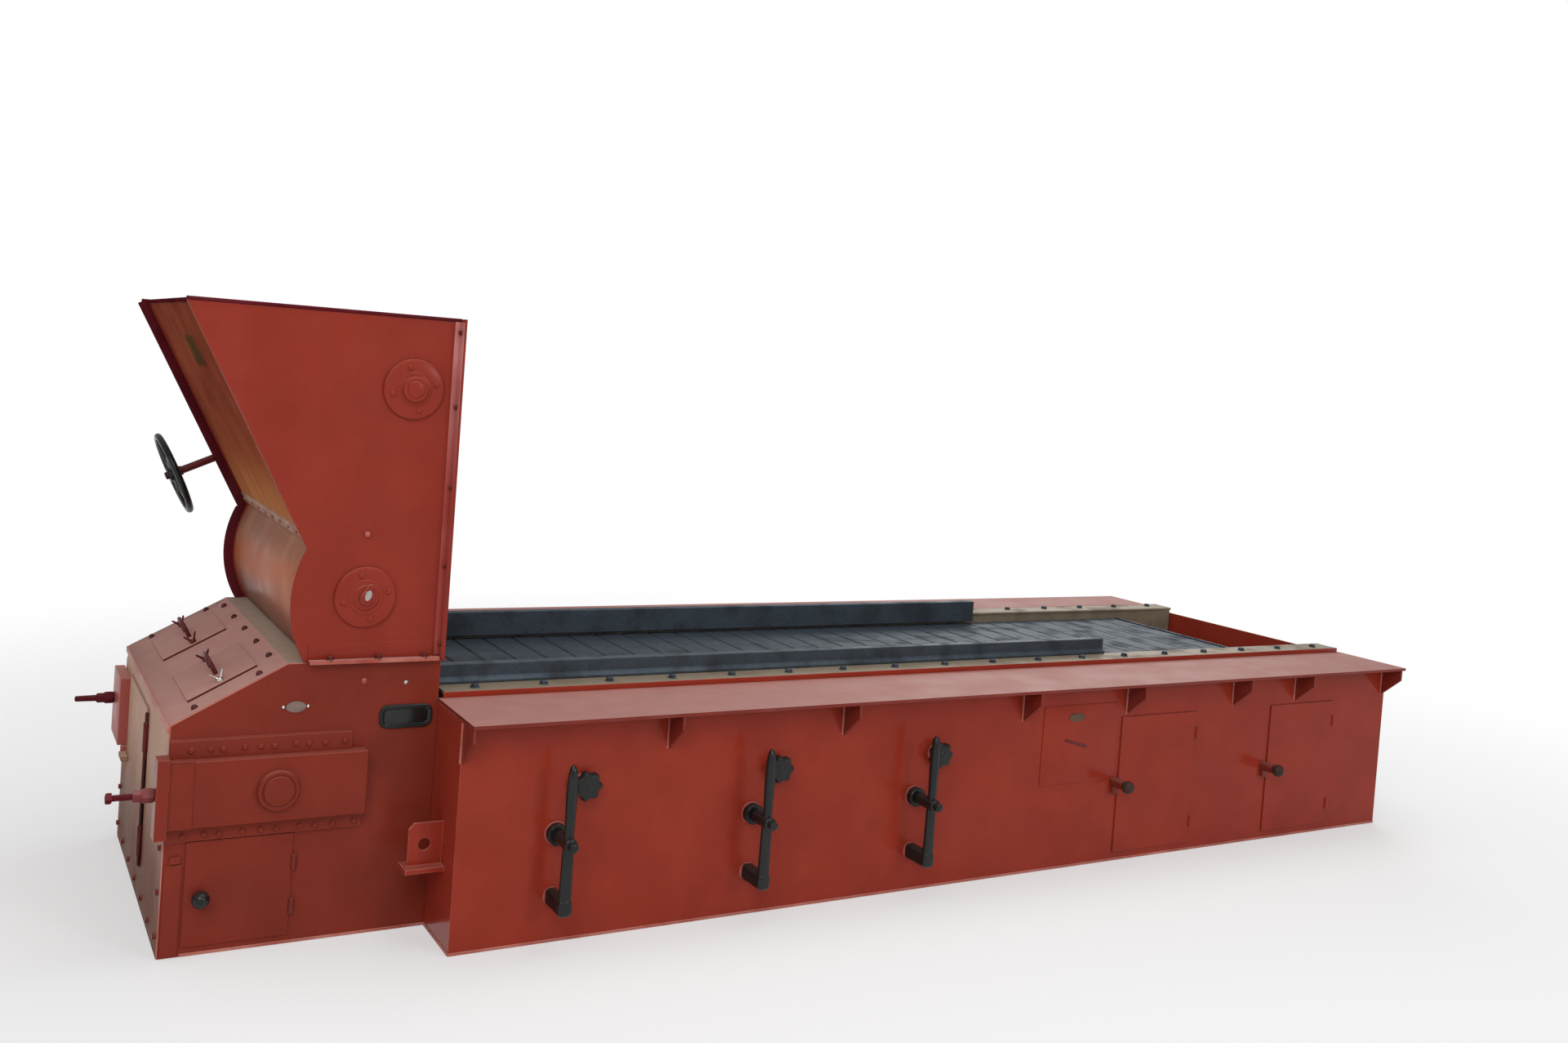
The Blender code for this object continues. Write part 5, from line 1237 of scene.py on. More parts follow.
@dataclass
class Hopper:
    """Coal hopper with its rolled drum sheet, flanges and bare plate."""

    drum_radius: float = 0.356
    drum_thick: float = 0.006
    drum_centre: Pair = (0.720, 1.115)
    drum_half: float = 0.197
    sheet_lean: float = math.radians(27.67)
    sheet_foot: Pair = (0.3995, 1.2972)
    seam_rise: float = 0.026
    seam_height: float = 0.046
    seam_thick: float = 0.005
    seam_bolt: Bolt = Bolt(0.012, 0.005, 0.008, 0.002)
    seam_bolts: int = 9
    seam_bolt_half: float = 0.56
    plate_down: float = 0.193
    plate_across: float = -0.036
    plate_size: Pair = (0.20, 0.11)
    plate_thick: float = 0.003
    plate_rivet: Rivet = Rivet(0.004, 0.003)
    plate_rivet_in: float = 0.012
    leg_width: float = 0.018
    leg_gap: float = 0.012
    leg_top: Sequence[float] = (2.055, 1.605)
    wing_width: float = 0.042
    wing_out: float = 0.028
    wing_short: float = 0.020
    shelf_width: float = 0.024
    shelf_out: float = 0.016
    shelf_rise: float = 0.008
    lip_width: float = 0.014
    lip_out: float = 0.030
    lip_rise: float = 0.005
    foot_leg: float = 0.054
    foot_leg_rise: float = 0.036
    flange_in: float = 0.008
    flange_face: float = 0.0015
    flange_bolt_out: float = 0.021
    shelf_bolt_out: float = 0.020
    flange_bolt: Bolt = Bolt(0.014, 0.007, 0.010, 0.002)
    flange_bolt_z: Sequence[float] = (0.970, 1.235, 1.500, 1.770, 2.020)
    shelf_start: float = 0.402
    shelf_bolt: Bolt = Bolt(0.018, 0.012, 0.013, 0.002)
    shelf_bolt_in: Pair = (0.37, 0.06)
    rim_in: float = 0.004
    rim_start: Pair = (-0.024, 2.0574)
    rim_radius: float = 0.381
    rim_angles: Pair = (math.pi - 0.468, math.pi + 0.545)

    def __post_init__(self) -> None:
        """Read the hopper's planes from the frame."""
        self.front = front_plane()
        low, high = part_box("hopper_side_near")
        self.rear, self.foot, self.top = high[0], low[2], high[2]
        self.half = -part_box("front_side_plate_near")[0][1]
        self.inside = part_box("hopper_drum")[1][1]

    def sheet_axes(self) -> Array:
        """Return the axes of the front sheet: across, up along it, and outward."""
        c, s = math.cos(self.sheet_lean), math.sin(self.sheet_lean)
        return axes((0.0, -1.0, 0.0), (-s, 0.0, c), (-c, 0.0, -s))

    def on_sheet(self, rise: float, across: float) -> Array:
        """Return a point of the front sheet, a distance up from its foot."""
        start = np.array((self.front + self.sheet_foot[0], across, self.sheet_foot[1]))
        return start + rise * self.sheet_axes()[:, 1]

    def arc(self, radius: float, ends: Pair, count: int) -> Array:
        """Return points round the drum's axis: centre + r (cos a, sin a), with X measured from the front.

        Args:
            radius: Radius r.
            ends: First and last angle.
            count: Number of points.

        Returns:
            One row for each point.
        """
        angle = np.linspace(*ends, count)
        x, z = self.drum_centre
        return np.stack((x + radius * np.cos(angle), 0 * angle, z + radius * np.sin(angle)), -1)

    def plates(self) -> None:
        """Dress the flat plates."""
        for flank in Flank:
            dress("hopper_side_" + flank.label, Coat.HOPPER, Coat.RIM)
        dress("hopper_front_sheet", Coat.SHEET, Coat.SHEET)
        dress("hopper_rear_plate", Coat.RED)

    def drum(self) -> None:
        """Make the rolled sheet: a flat strip carried along an arc."""
        reach = math.asin(self.drum_half / self.drum_radius)
        path = self.arc(self.drum_radius, (math.pi - reach, math.pi + reach), 61)
        path = path + np.array((self.front, 0.0, 0.0))
        sheet = swept(path, rounded(2 * self.inside, self.drum_thick, 0.002, 2), ACROSS)
        show("drum_sheet", sheet, Coat.DRUM, stands_for=("hopper_drum",))

    def seam(self) -> None:
        """Make the bolted strip where the front sheet meets the drum."""
        turn = self.sheet_axes()
        size = (2 * self.inside - 0.01, self.seam_height)
        strip = slab(size, thick=self.seam_thick, corner=0.004, edge=0.0015)
        show("sheet_seam_strip", strip.put(turn, self.on_sheet(self.seam_rise, 0.0)), Coat.TAN)
        ends = [self.on_sheet(self.seam_rise, side * self.seam_bolt_half) for side in (-1, 1)]
        places = line(*ends, self.seam_bolts) + self.seam_thick * turn[:, 2]
        show("sheet_seam_bolts", self.seam_bolt.row(places, turn), Coat.TAN)

    def bare_plate(self) -> None:
        """Make the bare plate high on the front sheet, with its rivets."""
        turn = self.sheet_axes()
        length = (self.top - self.sheet_foot[1]) / math.cos(self.sheet_lean)
        centre = self.on_sheet(length - self.plate_down, self.plate_across)
        blank = slab(self.plate_size, thick=self.plate_thick, corner=0.01, edge=0.001)
        show("bare_plate", blank.put(turn, centre), Coat.UMBER, slot=Slot.STEEL)
        corners = np.array(((-1, -1), (1, -1), (1, 1), (-1, 1)))
        corners = corners * (np.array(self.plate_size) / 2 - self.plate_rivet_in)
        places = centre + corners @ turn[:, :2].T + self.plate_thick * turn[:, 2]
        show("bare_plate_rivets", self.plate_rivet.row(places, turn), Coat.UMBER, slot=Slot.STEEL)

    def flanges(self, flank: Flank, leg_top: float) -> None:
        """Make the angles of a side: their flat legs, the pale faces of their other legs, and the bolts.

        Args:
            flank: Side of the stoker.
            leg_top: Height where the rear angle's flat leg ends.
        """
        side, label, face = flank.parts()
        wall, wide, foot = side * self.half, self.leg_width, self.foot
        start, stop = self.front + self.shelf_start, self.rear - self.leg_gap
        edge = self.rear - self.flange_in
        long, x = stop - start, (start + stop) / 2
        rear = slab((wide, leg_top - foot - self.leg_gap), thick=0.005, corner=0.002, edge=0.0015)
        rear = rear.put(face, (edge - wide / 2, wall, (leg_top + foot + self.leg_gap) / 2))
        tall = self.top - foot - self.wing_short
        wing = slab((self.wing_width, tall), thick=self.flange_face, corner=0.003, edge=0.0005)
        wing = wing.put(FRONT, (edge, wall + side * self.wing_out, (self.top + foot) / 2))
        # The rear angle's pale pink leg and face skin carry a painted highlight.
        show("hopper_angle_" + label, joined(rear, wing), Coat.LEG)
        shelf = slab((long, self.shelf_width), thick=self.flange_face, corner=0.002, edge=0.0005)
        shelf = shelf.put(TOP, (x, wall + side * self.shelf_out, foot + self.shelf_rise))
        lip = slab((long, self.lip_width), thick=0.002, corner=0.002, edge=0.0008)
        lip = lip.put(face, (x, wall + side * self.lip_out, foot + self.lip_rise))
        show("hopper_shelf_" + label, joined(shelf, lip), Coat.EDGE)
        leg = slab((long - wide, self.foot_leg), thick=0.003, corner=0.002, edge=0.001)
        leg = leg.put(face, (x - wide / 2, wall, foot + self.foot_leg_rise))
        show("hopper_foot_leg_" + label, leg, Coat.HOPPER)
        y = wall + side * self.flange_bolt_out
        places = [(edge - self.flange_face, y, z) for z in self.flange_bolt_z]
        show("flange_bolts_" + label, self.flange_bolt.row(places, FRONT), Coat.SHADE)
        y, z = wall + side * self.shelf_bolt_out, foot + self.shelf_rise + self.flange_face
        ends = [(self.rear - gap, y, z) for gap in self.shelf_bolt_in]
        show("shelf_bolts_" + label, self.shelf_bolt.row(line(*ends, 3), TOP), Coat.ROD)

    def rims(self, flank: Flank) -> None:
        """Make the rims of a side plate: one along its top, and one down its slanted edge and round the drum.

        The second follows a straight line, then an arc round the drum's axis.

        Args:
            flank: Side of the stoker.
        """
        side, label, _ = flank.parts()
        y, z = side * (self.half - self.rim_in), self.top - self.rim_in
        path = line((self.front - 0.026, y, z), (self.rear - self.rim_in, y, z), 12)
        show("hopper_rim_" + label, swept(path, rounded(0.018, 0.012, 0.004, 3), ACROSS), Coat.RIM)
        arc = self.arc(self.rim_radius, self.rim_angles, 28)
        fall = line((self.rim_start[0], 0.0, self.rim_start[1]), arc[0], 12)
        path = np.concatenate((fall[:-1], arc)) + np.array((self.front, y, 0.0))
        # The far rim is a wide dark maroon strip, painted shade over the far plate's shaded inner edge; the
        # near rim is thin, in the side's own paint.
        section, coat = rounded(0.014, 0.034, 0.004, 2), Coat.RIM
        if side < 0:
            section, coat = rounded(0.009, 0.006, 0.002, 2), Coat.HOPPER
        show("hopper_front_rim_" + label, swept(path, section, ACROSS), coat)

    def sheet_rim(self) -> None:
        """Make the folded rim along the front sheet's top edge, a rounded bar carried across the hopper."""
        x, z = self.front + 0.003, self.top - 0.006
        path = line((x, -self.inside, z), (x, self.inside, z), 6)
        show("hopper_sheet_rim", swept(path, rounded(0.016, 0.014, 0.004, 3), ALONG), Coat.RIM)

    def build(self) -> None:
        """Make and dress the hopper."""
        self.plates()
        self.drum()
        self.seam()
        self.bare_plate()
        self.sheet_rim()
        for flank, leg_top in zip(Flank, self.leg_top):
            self.flanges(flank, leg_top)
            self.rims(flank)


@dataclass
class GateDrive:
    """Bearing discs, feed-gate lever, worm housing, rod and handwheel."""

    disc_radius: float = 0.100
    disc_plate: float = 0.014
    boss_radius: float = 0.042
    disc_bolt: Bolt = Bolt(0.015, 0.005, 0.010, 0.002)
    bolt_circle: float = 0.074
    lift_bore: float = 0.0205
    feed_bore: float = 0.0185
    bearing_cap: Profile = ((0.026, -0.001), (0.028, 0.001), (0.026, 0.004), (0.012, 0.006),
                            (0.001, 0.006))
    stud: Profile = ((0.009, -0.002), (0.009, 0.010), (0.006, 0.013))
    stud_at: Pair = (0.565, 1.337)
    feed_cap: Profile = ((0.0195, -0.001), (0.0195, 0.002), (0.016, 0.004))
    pointer_size: Pair = (0.021, 0.036)
    pointer_tilt: float = -0.3
    pointer_at: Triple = (0.002, 0.010, 0.003)
    cover_radius: float = 0.132
    cover_thick: float = 0.007
    cover_rise: float = 0.023
    cover_bolt: Bolt = SMALL_BOLT
    cover_bolt_in: float = 0.016
    cap_bolt: Bolt = Bolt(0.010, 0.005, 0.007, 0.001)
    cap_circle: float = 0.030
    wheel_radius: float = 0.1665
    rim_radius: float = 0.0125
    hub_radius: float = 0.030
    hub_length: float = 0.042
    spokes: int = 5
    spoke_radius: float = 0.0092
    spoke_bow: float = 0.006
    sleeve: Profile = ((0.019, 0.001), (0.019, -0.010), (0.0145, -0.013), (0.0145, -0.36),
                       (0.012, -0.362))
    wheel_nut: Profile = ((0.016, -0.002), (0.016, 0.009), (0.012, 0.012))

    def disc(self, node: str, flank: Flank, bore: float) -> None:
        """Make a bearing disc: a turned ring with a raised boss, and four bolts.

        Args:
            node: Node that it replaces.
            flank: Side of the stoker.
            bore: Radius of its bore.
        """
        side, _, face = flank.parts()
        low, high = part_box(node)
        rise = high[1] - low[1]
        wall = min(abs(low[1]), abs(high[1]))
        x, _, z = middle(node)
        r, t, b = self.disc_radius, self.disc_plate, self.boss_radius
        profile = ((bore, 0.0), (r, 0.0), (r, t - 0.004), (r - 0.003, t - 0.001), (r - 0.006, t),
                   (b + 0.016, t), (b + 0.014, t + 0.002), (b + 0.004, t + 0.002), (b, t + 0.004),
                   (b, rise - 0.003), (b - 0.003, rise), (bore, rise))
        ring = turned(profile, 64, True).put(face, (x, side * wall, z))
        show(node + "_disc", ring, Coat.HOPPER, stands_for=(node,))
        places = np.array((x, side * (wall + t), z)) + self.bolt_circle * circle(4, 0.25)
        show(node + "_bolts", self.disc_bolt.row(places, face), Coat.HOPPER)

    def discs(self) -> None:
        """Make the three discs, the gate bearing's cap, the pointer and the gate's indicator stud."""
        near, far = Flank
        self.disc("gate_bearing_near", near, self.lift_bore)
        self.disc("arc_gate_bearing_near", near, self.feed_bore)
        self.disc("arc_gate_bearing_far", far, self.feed_bore)
        low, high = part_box("gate_bearing_near")
        x, _, z = middle("gate_bearing_near")
        cap = turned(lifted(self.bearing_cap, high[1] - low[1]), 32)
        show("gate_bearing_cap", cap.put(NEAR, (x, high[1], z)), Coat.HOPPER)
        self.pointer()
        x, y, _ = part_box("front_side_plate_near")[0]
        # The stud's pale red is a painted highlight.
        stud = turned(self.stud, 24).put(NEAR, (x + self.stud_at[0], y, self.stud_at[1]))
        show("gate_indicator_stud", stud, Coat.FLANGE, slot=Slot.STEEL)

    def pointer(self) -> None:
        """Dress the feed gate's lever, cap its shaft and lay a worn steel pointer on it."""
        dress("arc_gate_lever", Coat.HOPPER, Coat.EDGE, 0.0015)
        x, _, z = axis_of("feed_gate_turn")[0]
        place = (x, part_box("arc_gate_lever")[0][1], z)
        show("feed_gate_cap", turned(self.feed_cap, 28).put(NEAR, place), Coat.HOPPER, "feed_gate")
        blade = plate(oval(*self.pointer_size, 28), thick=0.003, edge=0.0012)
        blade = blade.put(spin(np.array((self.pointer_tilt,)))[0], self.pointer_at)
        show("feed_gate_pointer", blade.put(NEAR, place), Coat.STEEL, "feed_gate", Slot.STEEL)

    def worm_cover(self) -> None:
        """Make the cover of the worm housing: a turned plate with a raised bearing cap, and its bolts."""
        x, _, z = axis_of("lift_turn")[0]
        place = np.array((x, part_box("gate_worm_housing")[1][1], z))
        r, t, rise = self.cover_radius, self.cover_thick, self.cover_rise
        profile = ((r, -0.001), (r, t - 0.002), (r - 0.003, t), (0.048, t), (0.045, t + 0.002),
                   (0.045, rise - 0.003), (0.041, rise), (0.001, rise))
        show("worm_cover", turned(profile, 64).put(FAR, place), Coat.HOPPER)
        ring, turn = circle(8, 0.2), FAR
        outer = place + (r - self.cover_bolt_in) * ring + t * turn[:, 2]
        inner = place + self.cap_circle * ring[::2] + rise * turn[:, 2]
        bolts = joined(self.cover_bolt.row(outer, turn), self.cap_bolt.row(inner, turn))
        show("worm_cover_bolts", bolts, Coat.BOLT)

    def wheel_axes(self) -> tuple[Array, Array]:
        """Work out how the handwheel lies on its rod.

        Returns:
            Its axes, with the rod's as the outward one, and the middle of its hub.
        """
        centre, axis = axis_of("handwheel_turn")
        axis = axis / np.linalg.norm(axis)
        if axis[0] > 0:
            axis = -axis
        turn = np.stack((ACROSS, np.cross(axis, ACROSS), axis), -1)
        return turn, centre + axis * ((middle("handwheel") - centre) @ axis)

    def wheel(self) -> None:
        """Make the handwheel and its rod about the rod's own axis.

        A spoke's middle line bows outward as sin(pi s) and its radius goes as 1.25 - 0.45 sin(pi s).
        """
        turn, centre = self.wheel_axes()
        mean = self.wheel_radius - self.rim_radius
        section = oval(2.1 * self.rim_radius, 2 * self.rim_radius, 16)
        rim = carried(oval(2 * mean, 2 * mean, 96), section, True)
        reach = np.linspace(self.hub_radius - 0.004, mean, 14)
        bow = self.spoke_bow * np.sin(math.pi * (reach - reach[0]) / (reach[-1] - reach[0]))
        waist = 1.25 - 0.45 * np.sin(math.pi * np.linspace(0.05, 0.95, 14))
        spoke = rod(np.stack((reach, 0 * reach, bow), -1), self.spoke_radius, ACROSS, waist, 10)
        angle = np.arange(self.spokes) * TURN / self.spokes
        arms = spoke.copies(np.zeros((self.spokes, 3)), spin(angle))
        r, half = self.hub_radius, self.hub_length / 2
        boss = turned(((r - 0.014, -half), (r - 0.004, -half), (r, -half + 0.004), (r, half - 0.006),
                       (r - 0.004, half), (r - 0.014, half)), 32, True)
        cast = joined(rim, arms, boss).put(turn, centre)
        show("handwheel_cast", cast, Coat.BLACK, "wheel", Slot.BLACK, ("handwheel",))
        dress("handwheel_shaft", Coat.ROD, None)
        sleeve = turned(lifted(self.sleeve, -half), 24).put(turn, centre)
        show("handwheel_sleeve", sleeve, Coat.ROD, "wheel")
        nut = turned(lifted(self.wheel_nut, half), 6).put(turn, centre)
        show("handwheel_nut", nut, Coat.BLACK, "wheel", Slot.STEEL)

    def build(self) -> None:
        """Make and dress the drive."""
        self.discs()
        self.worm_cover()
        self.wheel()
        dress("gate_worm_housing", Coat.RED)
        dress("coal_gate", Coat.IRON, Coat.IRON)
        dress("gate_lift_shaft", Coat.STEEL, None)
        dress("arc_gate", Coat.IRON, Coat.IRON)


@dataclass
class GrateBody:
    """Long body behind the feed end: walls, decks, base, doors' panel and rear end."""

    panel_centre: Pair = (3.484, 0.520)
    panel_size: Pair = (0.408, 0.328)
    panel_thick: float = 0.004
    oval_at: Pair = (3.456, 0.632)
    oval_size: Pair = (0.085, 0.036)
    slot_at: Pair = (3.461, 0.522)
    slot_size: Pair = (0.128, 0.013)
    slot_tilt: float = math.radians(-16.0)
    step: float = 0.840
    rear: float = 5.420
    toe_start: float = 0.066
    toe_height: float = 0.009
    toe_middle: float = 0.0055
    gusset_x: Sequence[float] = (0.845, 1.584, 2.307, 3.173, 3.741, 4.380, 4.785, 5.397)
    gusset_z: Pair = (0.632, 0.764)
    gusset_root: float = 0.006
    inlet_size: Pair = (0.286, 0.436)
    inlet_at: Pair = (0.7075, 0.400)
    inlet_bolt: Bolt = SMALL_BOLT
    inlet_bolts: int = 4
    inlet_reach: float = 0.6

    def __post_init__(self) -> None:
        """Read the body's planes from the frame."""
        self.front = front_plane()
        self.wall = wall_plane()

    def plates(self) -> None:
        """Dress the plates."""
        for flank in Flank:
            dress("body_wall_" + flank.label, Coat.RED)
            dress("deck_" + flank.label, Coat.DECK)
        dress("rear_end_plate", Coat.RED)
        dress("base_frame", Coat.SHADE, Coat.SHADE)

    def panel(self) -> None:
        """Make the closed panel beside the first rear door, with its bare plate and slot."""
        x, z = self.panel_centre
        sheet = slab(self.panel_size, thick=self.panel_thick, corner=0.012, edge=0.0015)
        show("closed_panel", sheet.put(NEAR, (self.front + x, -self.wall, z)), Coat.RED)
        y = -self.wall - self.panel_thick
        blank = plate(oval(*self.oval_size), thick=0.003, edge=0.001)
        place = (self.front + self.oval_at[0], y, self.oval_at[1])
        show("oval_plate_panel", blank.put(NEAR, place), Coat.OLIVE, slot=Slot.STEEL)
        slit = slab(self.slot_size, thick=0.0015, corner=0.006, edge=0.0005)
        turn = NEAR @ spin(np.array((self.slot_tilt,)))[0]
        place = (self.front + self.slot_at[0], y, self.slot_at[1])
        show("panel_slot", slit.put(turn, place), Coat.ROD, slot=Slot.BLACK)

    def inlet(self, flank: Flank) -> None:
        """Make the bolts round an air inlet's flange, on the middle of its rim.

        Args:
            flank: Side of the stoker.
        """
        side, label, _ = flank.parts()
        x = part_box("rear_end_plate")[1][0]
        wide, high = np.array(self.inlet_size) / 2
        y, z, count = side * self.inlet_at[0], self.inlet_at[1], self.inlet_bolts
        tall = self.inlet_reach * high
        rows = [line((x, y - wide, z + s * high), (x, y + wide, z + s * high), count) for s in (-1, 1)]
        rows += [line((x, y + s * wide, z - tall), (x, y + s * wide, z + tall), count) for s in (-1, 1)]
        bolts = self.inlet_bolt.row(np.concatenate(rows), REAR)
        show("inlet_bolts_" + label, bolts, Coat.BOLT)

    def toe(self, length: float) -> Surface:
        """Return a thin strip of a length for the foot of a side."""
        return slab((length, self.toe_height), thick=0.003, corner=0.002, edge=0.001, steps=2)

    def toes(self, flank: Flank) -> None:
        """Make the worn strips along the foot of a side: front box, step and wall.

        Args:
            flank: Side of the stoker.
        """
        side, label, face = flank.parts()
        box, wall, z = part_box("front_side_plate_far")[1][1], self.wall, self.toe_middle
        start, step, rear = self.front + self.toe_start, self.front + self.step, self.front + self.rear
        strips = (self.toe(step - start).put(face, ((start + step) / 2, side * box, z)),
                  self.toe(wall - box).put(FRONT, (step, side * (wall + box) / 2, z)),
                  self.toe(rear - step).put(face, ((step + rear) / 2, side * wall, z)))
        show("toe_strips_" + label, joined(*strips), Coat.EDGE)

    def ledge_edge(self, flank: Flank) -> None:
        """Stand a thin red strip on a deck's inner edge, in front of the grate's ledge.

        Args:
            flank: Side of the stoker.
        """
        side, label, face = flank.parts()
        low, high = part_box("deck_" + label)
        inner = min(abs(low[1]), abs(high[1]))
        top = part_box("grate_frame_" + label)[1][2]
        size = (high[0] - low[0] - 0.03, top - high[2])
        bar = slab(size, thick=0.003, corner=0.002, edge=0.001, steps=2)
        place = ((low[0] + high[0]) / 2, side * (inner + 0.001), (top + high[2]) / 2)
        show("ledge_edge_" + label, bar.put(face, place), Coat.RED)

    def gusset_welds(self, flank: Flank) -> None:
        """Lay a weld down the root of each gusset.

        Args:
            flank: Side of the stoker.
        """
        side, label, _ = flank.parts()
        roots = [self.front + x - self.gusset_root for x in self.gusset_x]
        ends = [[(x, side * self.wall, z) for z in self.gusset_z] for x in roots]
        welds = joined(*(bead(*pair, ACROSS, radius=0.005) for pair in ends))
        show("gusset_welds_" + label, welds, Coat.EDGE)

    def build(self) -> None:
        """Make and dress the body."""
        self.plates()
        self.panel()
        for flank in Flank:
            self.inlet(flank)
            self.toes(flank)
            self.ledge_edge(flank)
            self.gusset_welds(flank)


@dataclass
class Grate:
    """Travelling grate: bars on cross rods, side seals, ledges and shafts."""

    rows: int = 36
    bars: int = 40
    gap: float = 0.003
    bar_height: float = 0.036
    bar_nose: Pair = (0.006, 0.004)
    bar_side: float = 0.010
    turn_rows: int = 5
    turn_length: float = 0.115
    rod_radius: float = 0.009
    rod_in: float = 0.002
    crease: float = math.radians(25)
    shaft_radius: float = 0.040
    key_in: Pair = (0.085, 0.008)
    ledge_bolt: Bolt = Bolt(0.024, 0.010, 0.017)
    ledge_bolts: int = 18
    ledge_bolt_out: float = 0.575
    ledge_bolt_in: float = 0.12

    def __post_init__(self) -> None:
        """Read the belt's loop from the frame."""
        low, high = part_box("grate_belt_top")
        self.start, self.stop, self.top = low[0], high[0], high[2]
        self.half = high[1]
        self.centre = middle("front_shaft")[2]
        self.outer = self.top - self.centre
        self.pitch = (self.stop - self.start) / self.rows

    def bar(self, length: float) -> Surface:
        """Return a grate bar: a profile with a round nose, carried across the bar's width.

        Args:
            length: Length of the bar along the belt.

        Returns:
            The bar, with its outer face at height 0.
        """
        half, (nose, fall) = length / 2, self.bar_nose
        x = np.array((-half, -half, -half + nose, half - nose, half, half, 0.25 * half, -0.25 * half))
        z = -np.array((self.bar_side, fall, 0.0, 0.0, fall, self.bar_side, self.bar_height, self.bar_height))
        wide = 2 * self.half / self.bars - self.gap
        ends = np.array((-wide / 2, wide / 2))
        return lattice(np.stack((x, 0 * x, z), -1)[None] + ends[:, None, None] * np.array(ACROSS))

    def loop(self, places: Array, angles: Array, length: float) -> Surface:
        """Return rows of bars and their cross rods, each row turned about Y by its angle.

        Args:
            places: Point of the belt's outer face at each row.
            angles: Turn of each row.
            length: Length of a bar along the belt.

        Returns:
            Bars and rods.
        """
        c, s = np.cos(angles), np.sin(angles)
        zero, one = np.zeros_like(c), np.ones_like(c)
        turns = np.stack((c, zero, s, zero, one, zero, -s, zero, c), -1).reshape(-1, 3, 3)
        step = 2 * self.half / self.bars
        across = -self.half + step * (np.arange(self.bars) + 0.5)
        grid = places[:, None] + across[None, :, None] * np.array(ACROSS)
        bars = self.bar(length).copies(grid.reshape(-1, 3), np.repeat(turns, self.bars, 0))
        shift = turns @ np.array((length / 2, 0.0, -self.bar_height))
        half = self.half - self.rod_in
        bolt = turned(((self.rod_radius, -half), (self.rod_radius, half)), 8)
        rods = bolt.copies(places + shift, turns @ NEAR.T)
        return joined(bars, rods)

    def belt(self) -> None:
        """Make the top run, the return run with the rear turn, and the front turn.

        A turn's rows lie on a half circle: out from its end by r sin a, and up from the shaft by r cos a.
        """
        x = self.start + self.pitch * (np.arange(self.rows) + 0.5)
        zero = np.zeros_like(x)
        length = self.pitch - self.gap
        top = self.loop(np.stack((x, zero, zero + self.top), -1), zero, length)
        flat = self.loop(np.stack((x, zero, zero + self.centre - self.outer), -1), zero + math.pi, length)
        angle = math.pi * (np.arange(self.turn_rows) + 0.5) / self.turn_rows
        out, rise = self.outer * np.sin(angle), self.centre + self.outer * np.cos(angle)
        rear = self.loop(np.stack((self.stop + out, 0 * angle, rise), -1), angle, self.turn_length)
        front = self.loop(np.stack((self.start - out, 0 * angle, rise), -1), -angle, self.turn_length)
        for label, run, body in (("top", top, "stoker"), ("return", joined(flat, rear), "stoker"),
                                 ("front", front, "takeup")):
            node = "grate_belt_" + label
            show("grate_bars_" + label, run, Coat.IRON, body, Slot.IRON, (node,), self.crease)

    def ledge(self, flank: Flank) -> None:
        """Dress what lies along a side of the belt, and set the ledge's bolts.

        Args:
            flank: Side of the stoker.
        """
        side, label, _ = flank.parts()
        dress("side_seal_" + label, Coat.IRON, Coat.IRON, 0.003)
        dress("grate_frame_" + label, Coat.LEDGE, Coat.LEDGE)
        dress("drive_sprocket_" + label, Coat.IRON, Coat.IRON)
        low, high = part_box("grate_frame_" + label)
        ends = [(x, side * self.ledge_bolt_out, high[2])
                for x in (low[0] + self.ledge_bolt_in, high[0] - self.ledge_bolt_in)]
        bolts = self.ledge_bolt.row(line(*ends, self.ledge_bolts), TOP)
        show("ledge_bolts_" + label, bolts, Coat.IRON, slot=Slot.STEEL)

    def key(self) -> None:
        """Make the key in the drive end of the front shaft: a rounded bar laid along its top."""
        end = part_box("front_shaft")[1][1]
        x, _, z = middle("front_shaft")
        path = line(*((x, end - gap, z + self.shaft_radius) for gap in self.key_in), 4)
        bar = swept(path, rounded(0.012, 0.010, 0.003, 2), ALONG)
        show("drive_key", bar, Coat.BRIGHT, "front_drive", Slot.STEEL)

    def build(self) -> None:
        """Make and dress the grate."""
        self.belt()
        for flank in Flank:
            self.ledge(flank)
        dress("front_shaft", Coat.STEEL, None)
        self.key()
        dress("rear_shaft", Coat.STEEL, None)
        dress("air_box_frame", Coat.SHADE, None)


